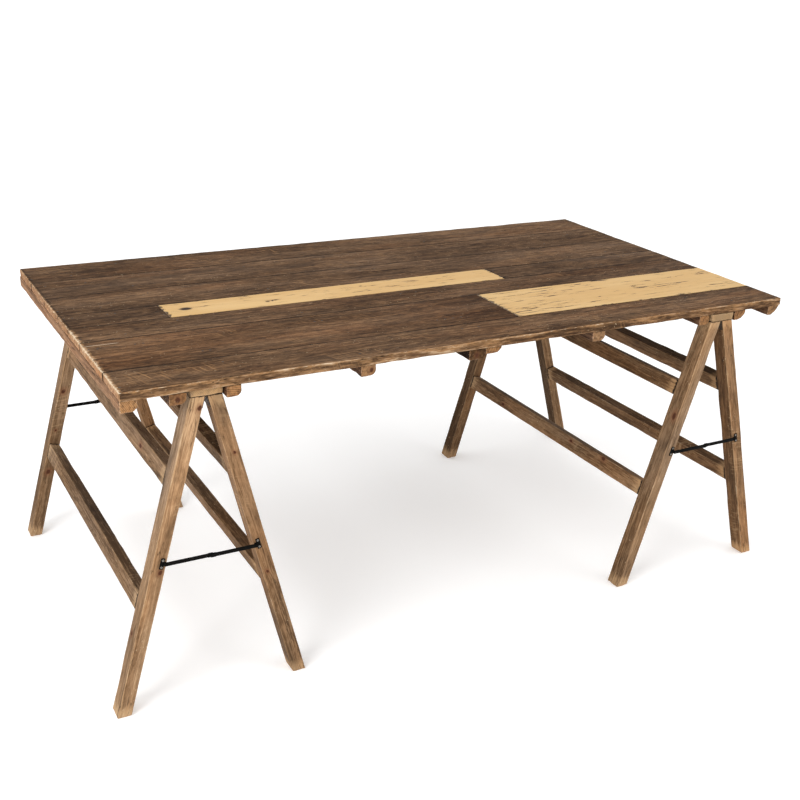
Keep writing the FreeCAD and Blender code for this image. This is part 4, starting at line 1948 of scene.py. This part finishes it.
# Nails, stays and screws
@dataclass
class Nails:
    """Nails through the planks into the battens, with their heads just above the worn wood."""

    top: TableTop
    head_radius: float = 3 * MM
    head_height: float = 1 * MM
    head_rounding: float = 0.3 * MM
    head_rise: float = 0.15 * MM
    shank_radius: float = 1.2 * MM
    tip_radius: float = 0.4 * MM

    def plank_at(self, place: Vector) -> Timber:
        """The plank that a nail stands in.

        Args:
            place: a point of the nail.

        Returns:
            The plank.
        """
        for row, names in enumerate(self.top.rows):
            for turn, name in enumerate(names):
                low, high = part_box(name)
                if low.x < place.x < high.x and low.y < place.y < high.y:
                    return self.top.plank(row, turn, name)
        raise ValueError(f"no plank at {place}")

    def nail(self, bm: Mesh, points: list[Vector], plank: Timber) -> None:
        """Add one nail.

        Args:
            bm: the mesh.
            points: corner points of the CAD nail.
            plank: the plank that it stands in.
        """
        place = middle_of(points)
        low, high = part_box(plank.node)
        gaps = [place.x - low.x, high.x - place.x, place.y - low.y, high.y - place.y, high.z - low.z, 0.0]
        top = high.z - max(0.0, plank.hollow(Side.OVER.value, gaps) - self.head_rise)
        head = Vector((place.x, place.y, top))
        neck = head - Z_AXIS * self.head_height
        tip = Vector((place.x, place.y, min(point.z for point in points)))
        made = bmesh.new()
        add_disc(made, neck, head, self.head_radius, self.head_rounding)
        add_disc(made, neck, tip, self.shank_radius, far_radius=self.tip_radius)
        pour(made, bm)

    def build(self) -> None:
        """Make the bare nails and the painted ones."""
        bare, painted = bmesh.new(), bmesh.new()
        for points in islands("plank_nails"):
            plank = self.plank_at(middle_of(points))
            self.nail(painted if plank.node.startswith("painted") else bare, points, plank)
        grain, knot, split = [painted.verts.layers.float_vector.new(name) for name in Timber.vector_traits]
        for vert in painted.verts:
            vert[grain] = vert.co
            vert[knot] = vert[split] = Vector(FAR_OFF)
        finish_piece("nails", bare, "nail_steel", "table_top", "plank_nails")
        finish_piece("painted_nails", painted, "ochre_paint", "table_top", "plank_nails")


@dataclass
class Stays:
    """The two folding stays of a trestle: plates, rivets and flat arms."""

    trestle: Trestle
    plate_start: float = 2.5 * MM
    plate_width: float = 9 * MM
    plate_height: float = 26 * MM
    plate_thickness: float = 2 * MM
    plate_sink: float = 0.08 * MM
    plate_rounding: float = 0.5 * MM
    tongue_lap: float = 1 * MM
    tongue_sink: float = 0.04 * MM
    tongue_rounding: float = 0.3 * MM
    eye_radius: float = 4.5 * MM
    arm_width: float = 9.4 * MM
    arm_thickness: float = 2 * MM
    arm_sink: float = 0.08 * MM
    arm_rounding: float = 0.45 * MM
    middle_radius: float = 5.5 * MM
    lug_length: float = 9 * MM
    lug_sink: float = 0.04 * MM
    rim_rounding: float = 0.4 * MM
    gap: float = 0.3 * MM
    rivet_radius: float = 2 * MM
    rivet_lap: float = 0.2 * MM
    head_radius: float = 3.5 * MM
    head_height: float = 1.2 * MM
    head_rounding: float = 0.2 * MM
    spacer_radius: float = 4 * MM

    # Parts of the rivet head's height and radius that its base and its dome take
    base_height = 0.45
    dome_start = 0.4
    dome_radius = 0.92
    dome_top_radius = 0.55

    def pivot(self, row: Row, leaf: Leaf) -> Vector:
        """Place of a stay's pivot on the face of its leg, read from its joint."""
        name = f"{self.trestle.name}_{row.value[0]}_{leaf.value[0]}_stay"
        return Vector(next(joint["pos_m"] for joint in frame["joints"] if joint["name"] == name))

    def layer(self, leaf: Leaf) -> float:
        """Distance from the leg's face to an arm: the inner frame's arms lie over the outer frame's."""
        first = self.plate_thickness + self.gap
        return first if leaf is Leaf.OUTER else first + self.arm_thickness + self.gap

    def rivet_head(self, bm: Mesh, seat: Vector, rise: Vector) -> None:
        """Add a low domed head.

        Args:
            bm: the mesh.
            seat: middle of its flat face.
            rise: way from there to its top.
        """
        add_disc(bm, seat, seat + rise * self.base_height, self.head_radius, self.head_rounding)
        add_disc(
            bm, seat + rise * self.dome_start, seat + rise, self.dome_radius * self.head_radius,
            self.rim_rounding, self.dome_top_radius * self.head_radius,
        )

    def arm(self, row: Row, leaf: Leaf) -> None:
        """Make one arm with its half of the middle rivet.

        Args:
            row: near or far.
            leaf: the frame that it is riveted to.
        """
        word, sense = row.value
        start = self.pivot(row, leaf)
        end = Vector((self.trestle.hinge.x, start.y, start.z))
        outward = Y_AXIS * sense
        inner = outward * self.layer(leaf)
        outer = outward * (self.layer(leaf) + self.arm_thickness)
        toward = 1 if end.x > start.x else -1
        bm = bmesh.new()
        for from_x, half, sunk in (
            (start.x, self.arm_width / 2, self.arm_sink),
            (end.x - toward * self.lug_length, self.middle_radius, self.lug_sink),
        ):
            levels = sorted((start.y + inner.y + sense * sunk, start.y + outer.y - sense * sunk))
            low = (min(from_x, end.x), levels[0], start.z - half)
            high = (max(from_x, end.x), levels[1], start.z + half)
            add_block(bm, low, high, self.arm_rounding)
        add_disc(bm, start + inner, start + outer, self.eye_radius, self.rim_rounding)
        add_disc(bm, end + inner, end + outer, self.middle_radius, self.rim_rounding)
        if leaf is Leaf.INNER:
            self.rivet_head(bm, end + outer, outward * self.head_height)
        else:
            self.rivet_head(bm, end + inner, -outward * self.head_height)
        arm = f"{self.trestle.name}_{word}_{leaf.value[0]}"
        finish_piece(f"{arm}_stay_arm", bm, "black_iron", f"{arm}_arm", f"{arm}_stay_arm")

    def bracket(self, bm: Mesh, row: Row, leaf: Leaf) -> None:
        """Add one T-shaped plate and its pivot rivet.

        Args:
            bm: the mesh.
            row: near or far.
            leaf: the frame that it is screwed to.
        """
        outward = Y_AXIS * row.value[1]
        up, out = self.trestle.lean(leaf)
        start = self.pivot(row, leaf)
        plate = bmesh.new()
        half = self.plate_height / 2
        face = self.plate_thickness - self.plate_sink
        end = self.plate_start + self.plate_width
        add_block(plate, (self.plate_start, 0, -half), (end, face, half), self.plate_rounding)
        tongue = (self.plate_start + self.tongue_lap, face - self.tongue_sink, self.eye_radius)
        add_block(plate, (0, 0, -self.eye_radius), tongue, self.tongue_rounding)
        add_disc(plate, Vector(), Y_AXIS * self.plate_thickness, self.eye_radius, self.tongue_rounding)
        place = axes(start, out, outward, up)
        plate.transform(place)
        if place.determinant() < 0:
            bmesh.ops.reverse_faces(plate, faces=plate.faces)
        head = self.layer(leaf) + self.arm_thickness + self.gap
        add_disc(plate, start, start + outward * (head + self.rivet_lap), self.rivet_radius)
        self.rivet_head(plate, start + outward * head, outward * self.head_height)
        if leaf is Leaf.INNER:
            seat = start + outward * self.plate_thickness
            far_end = start + outward * (self.layer(leaf) - self.gap)
            add_disc(plate, seat, far_end, self.spacer_radius, self.head_rounding)
        pour(plate, bm)

    def build(self) -> None:
        """Make the arms and the brackets of both stays."""
        for leaf in Leaf:
            word, _outward, body = leaf.value
            bm = bmesh.new()
            for row in Row:
                self.arm(row, leaf)
                self.bracket(bm, row, leaf)
            node = f"{self.trestle.name}_{word}_stay_brackets"
            finish_piece(node, bm, "black_iron", f"{self.trestle.name}_{body}", node)


@dataclass
class Screws:
    """Countersunk screws with slots, in place of the CAD ones."""

    trestle: Trestle
    head_radius: float = 2.75 * MM
    head_height: float = 1.4 * MM
    shank_radius: float = 1.4 * MM
    point_length: float = 2.5 * MM
    point_radius: float = 0.2 * MM
    slot_half: float = 0.35 * MM
    slot_depth: float = 0.55 * MM
    slot_taper: float = 0.8
    spin: float = 2.4

    slot_weld = 1e-7
    upright = 0.99
    slot_middle = 0.1 * MM
    rim_share = 0.999

    def ends(self, points: list[Vector]) -> tuple[Vector, Vector]:
        """Ends of one CAD screw.

        Args:
            points: its corner points.

        Returns:
            Middle of the head's face, and the point.
        """
        centre = middle_of(points)
        tip = max(points, key=lambda point: (point - centre).length)
        far = max((point - tip).length for point in points)
        return middle_of([point for point in points if (point - tip).length > self.rim_share * far]), tip

    def screw(self, bm: Mesh, head: Vector, tip: Vector, turn: float) -> None:
        """Add one screw with a sunk slot across its head.

        Args:
            bm: the mesh.
            head: middle of its head's face.
            tip: its point.
            turn: angle of the slot, in radians.
        """
        made = bmesh.new()
        length = (tip - head).length
        face, neck, point, end = [
            Vector((0, 0, -depth)) for depth in (0, self.head_height, length - self.point_length, length)
        ]
        add_disc(made, neck, face, self.shank_radius, far_radius=self.head_radius)
        for side in (-self.slot_half, self.slot_half):
            cut = made.verts[:] + made.edges[:] + made.faces[:]
            wall = Y_AXIS * side
            bmesh.ops.bisect_plane(made, geom=cut, dist=self.slot_weld, plane_co=wall, plane_no=Y_AXIS)
        sunk = [
            part for part in made.faces
            if part.normal.z > self.upright and abs(part.calc_center_median().y) < self.slot_middle
        ]
        walls = bmesh.ops.extrude_face_region(made, geom=sunk)["geom"]
        floor = [item for item in walls if isinstance(item, bmesh.types.BMVert)]
        bmesh.ops.delete(made, geom=sunk, context="FACES")
        bmesh.ops.translate(made, verts=floor, vec=(0, 0, -self.slot_depth))
        bmesh.ops.scale(made, verts=floor, vec=(self.slot_taper, 1, 1))
        add_disc(made, neck, point, self.shank_radius)
        add_disc(made, point, end, self.shank_radius, far_radius=self.point_radius)
        made.transform(Matrix.Rotation(turn, 4, "Z"))
        made.transform(stand(head, head - tip))
        pour(made, bm)

    def build(self) -> None:
        """Make the screws of both frames."""
        for leaf in Leaf:
            word, _outward, body = leaf.value
            node = f"{self.trestle.name}_{word}_screws"
            bm = bmesh.new()
            for index, points in enumerate(islands(node)):
                self.screw(bm, *self.ends(points), self.spin * index)
            finish_piece(node, bm, "screw_steel", f"{self.trestle.name}_{body}", node)


def dress_ironware() -> None:
    """Give every CAD node that stays as it is the finish of its slot."""
    slots = {part["node"]: part["material_slot"] for part in frame["record"]["subparts"]}
    for name, node in frame["nodes"].items():
        if node.hide_render:
            continue
        node.data.materials.clear()
        node.data.materials.append(MATERIALS[slots[name]])
        LOG.info("%s keeps its shape, in %s", name, slots[name])


# Floor, light and camera
@dataclass(frozen=True)
class Lamp:
    """A square soft lamp: its place, its side in metres and its power in watts."""

    name: str
    place: tuple[float, float, float]
    width: float
    power: float

    def hang(self, aim: tuple[float, float, float]) -> None:
        """Hang the lamp and turn it.

        Args:
            aim: the point that it faces.
        """
        light = bpy.data.lights.new(self.name, "AREA")
        light.energy = self.power
        light.size = self.width
        holder = bpy.data.objects.new(self.name, light)
        bpy.context.scene.collection.objects.link(holder)
        toward = Vector(aim) - Vector(self.place)
        holder.location = self.place
        holder.rotation_euler = toward.to_track_quat("-Z", "Y").to_euler()


@dataclass
class Studio:
    """Floor, light and camera."""

    eye: Vector = field(default_factory=lambda: Vector((-1.4223, -2.6009, 1.6279)))
    yaw: float = 0.50429
    pitch: float = 0.37993
    roll: float = 0.03810
    lens: float = 51.657
    sensor: float = 36.0
    farthest: float = 200.0
    floor_reach: float = 60.0
    floor_gap: float = 0.2 * MM
    floor_colour: Colour = (0.96, 0.96, 0.96)
    floor_roughness: float = 0.9
    floor_reflection: float = 0.1
    # Painted light: the floor glows a little, lifting its shadows toward white
    floor_glow: float = 0.18
    white: tuple[float, float, float, float] = (1.0, 1.0, 1.0, 1.0)
    sky: float = 1.0
    aim: tuple[float, float, float] = (0, 0, 0.5)
    lamps: tuple[Lamp, ...] = (
        Lamp("key", (-3.9, -2.3, 3.2), 2.2, 125),
        Lamp("fill", (2.6, -3.4, 2.2), 2.6, 30),
    )

    def floor(self) -> None:
        """Plain pale floor, which glows a little as painted light."""
        bm = bmesh.new()
        bmesh.ops.create_grid(bm, x_segments=2, y_segments=2, size=self.floor_reach)
        bmesh.ops.translate(bm, verts=bm.verts, vec=(0, 0, -self.floor_gap))
        mesh = bpy.data.meshes.new("floor_mesh")
        bm.to_mesh(mesh)
        bm.free()
        made = bpy.data.materials.new("pale_floor")
        made.use_nodes = True
        skin = made.node_tree.nodes["Principled BSDF"]
        for name, value in (
            ("Base Color", (*self.floor_colour, 1)), ("Roughness", self.floor_roughness),
            ("Specular IOR Level", self.floor_reflection), ("Emission Color", self.white),
            ("Emission Strength", self.floor_glow),
        ):
            skin.inputs[name].default_value = value
        mesh.materials.append(made)
        ground = bpy.data.objects.new("floor", mesh)
        bpy.context.scene.collection.objects.link(ground)

    def world(self) -> None:
        """Even white light from all round."""
        world = bpy.data.worlds.new("soft_sky")
        bpy.context.scene.world = world
        world.use_nodes = True
        backdrop = world.node_tree.nodes["Background"]
        backdrop.inputs["Color"].default_value = self.white
        backdrop.inputs["Strength"].default_value = self.sky

    def camera(self) -> None:
        """Camera at the photograph's place, angle and lens."""
        sight = bpy.data.cameras.new("camera")
        sight.lens = self.lens
        sight.sensor_width = self.sensor
        sight.clip_end = self.farthest
        forward = Vector((
            math.sin(self.yaw) * math.cos(self.pitch),
            math.cos(self.yaw) * math.cos(self.pitch),
            -math.sin(self.pitch),
        ))
        level_right = Vector((math.cos(self.yaw), -math.sin(self.yaw), 0))
        level_up = level_right.cross(forward)
        right = level_right * math.cos(self.roll) + level_up * math.sin(self.roll)
        up = right.cross(forward)
        holder = bpy.data.objects.new("camera", sight)
        bpy.context.scene.collection.objects.link(holder)
        holder.matrix_world = axes(self.eye, right, up, -forward)
        bpy.context.scene.camera = holder

    def build(self) -> None:
        """Set up the whole studio."""
        self.camera()
        self.floor()
        self.world()
        for lamp in self.lamps:
            lamp.hang(self.aim)
        settings = bpy.context.scene.view_settings
        settings.view_transform = "Standard"
        settings.look = "None"


def main() -> None:
    """Build the table and its studio."""
    logging.basicConfig(level=logging.INFO, format="%(message)s")
    MATERIALS.update({finish.slot: finish.material() for finish in FINISHES})
    Studio().build()
    top = TableTop()
    top.build()
    Nails(top).build()
    for hand in Hand:
        trestle = Trestle(hand)
        trestle.build()
        Stays(trestle).build()
        Screws(trestle).build()
    dress_ironware()


if __name__ == "__main__":
    main()
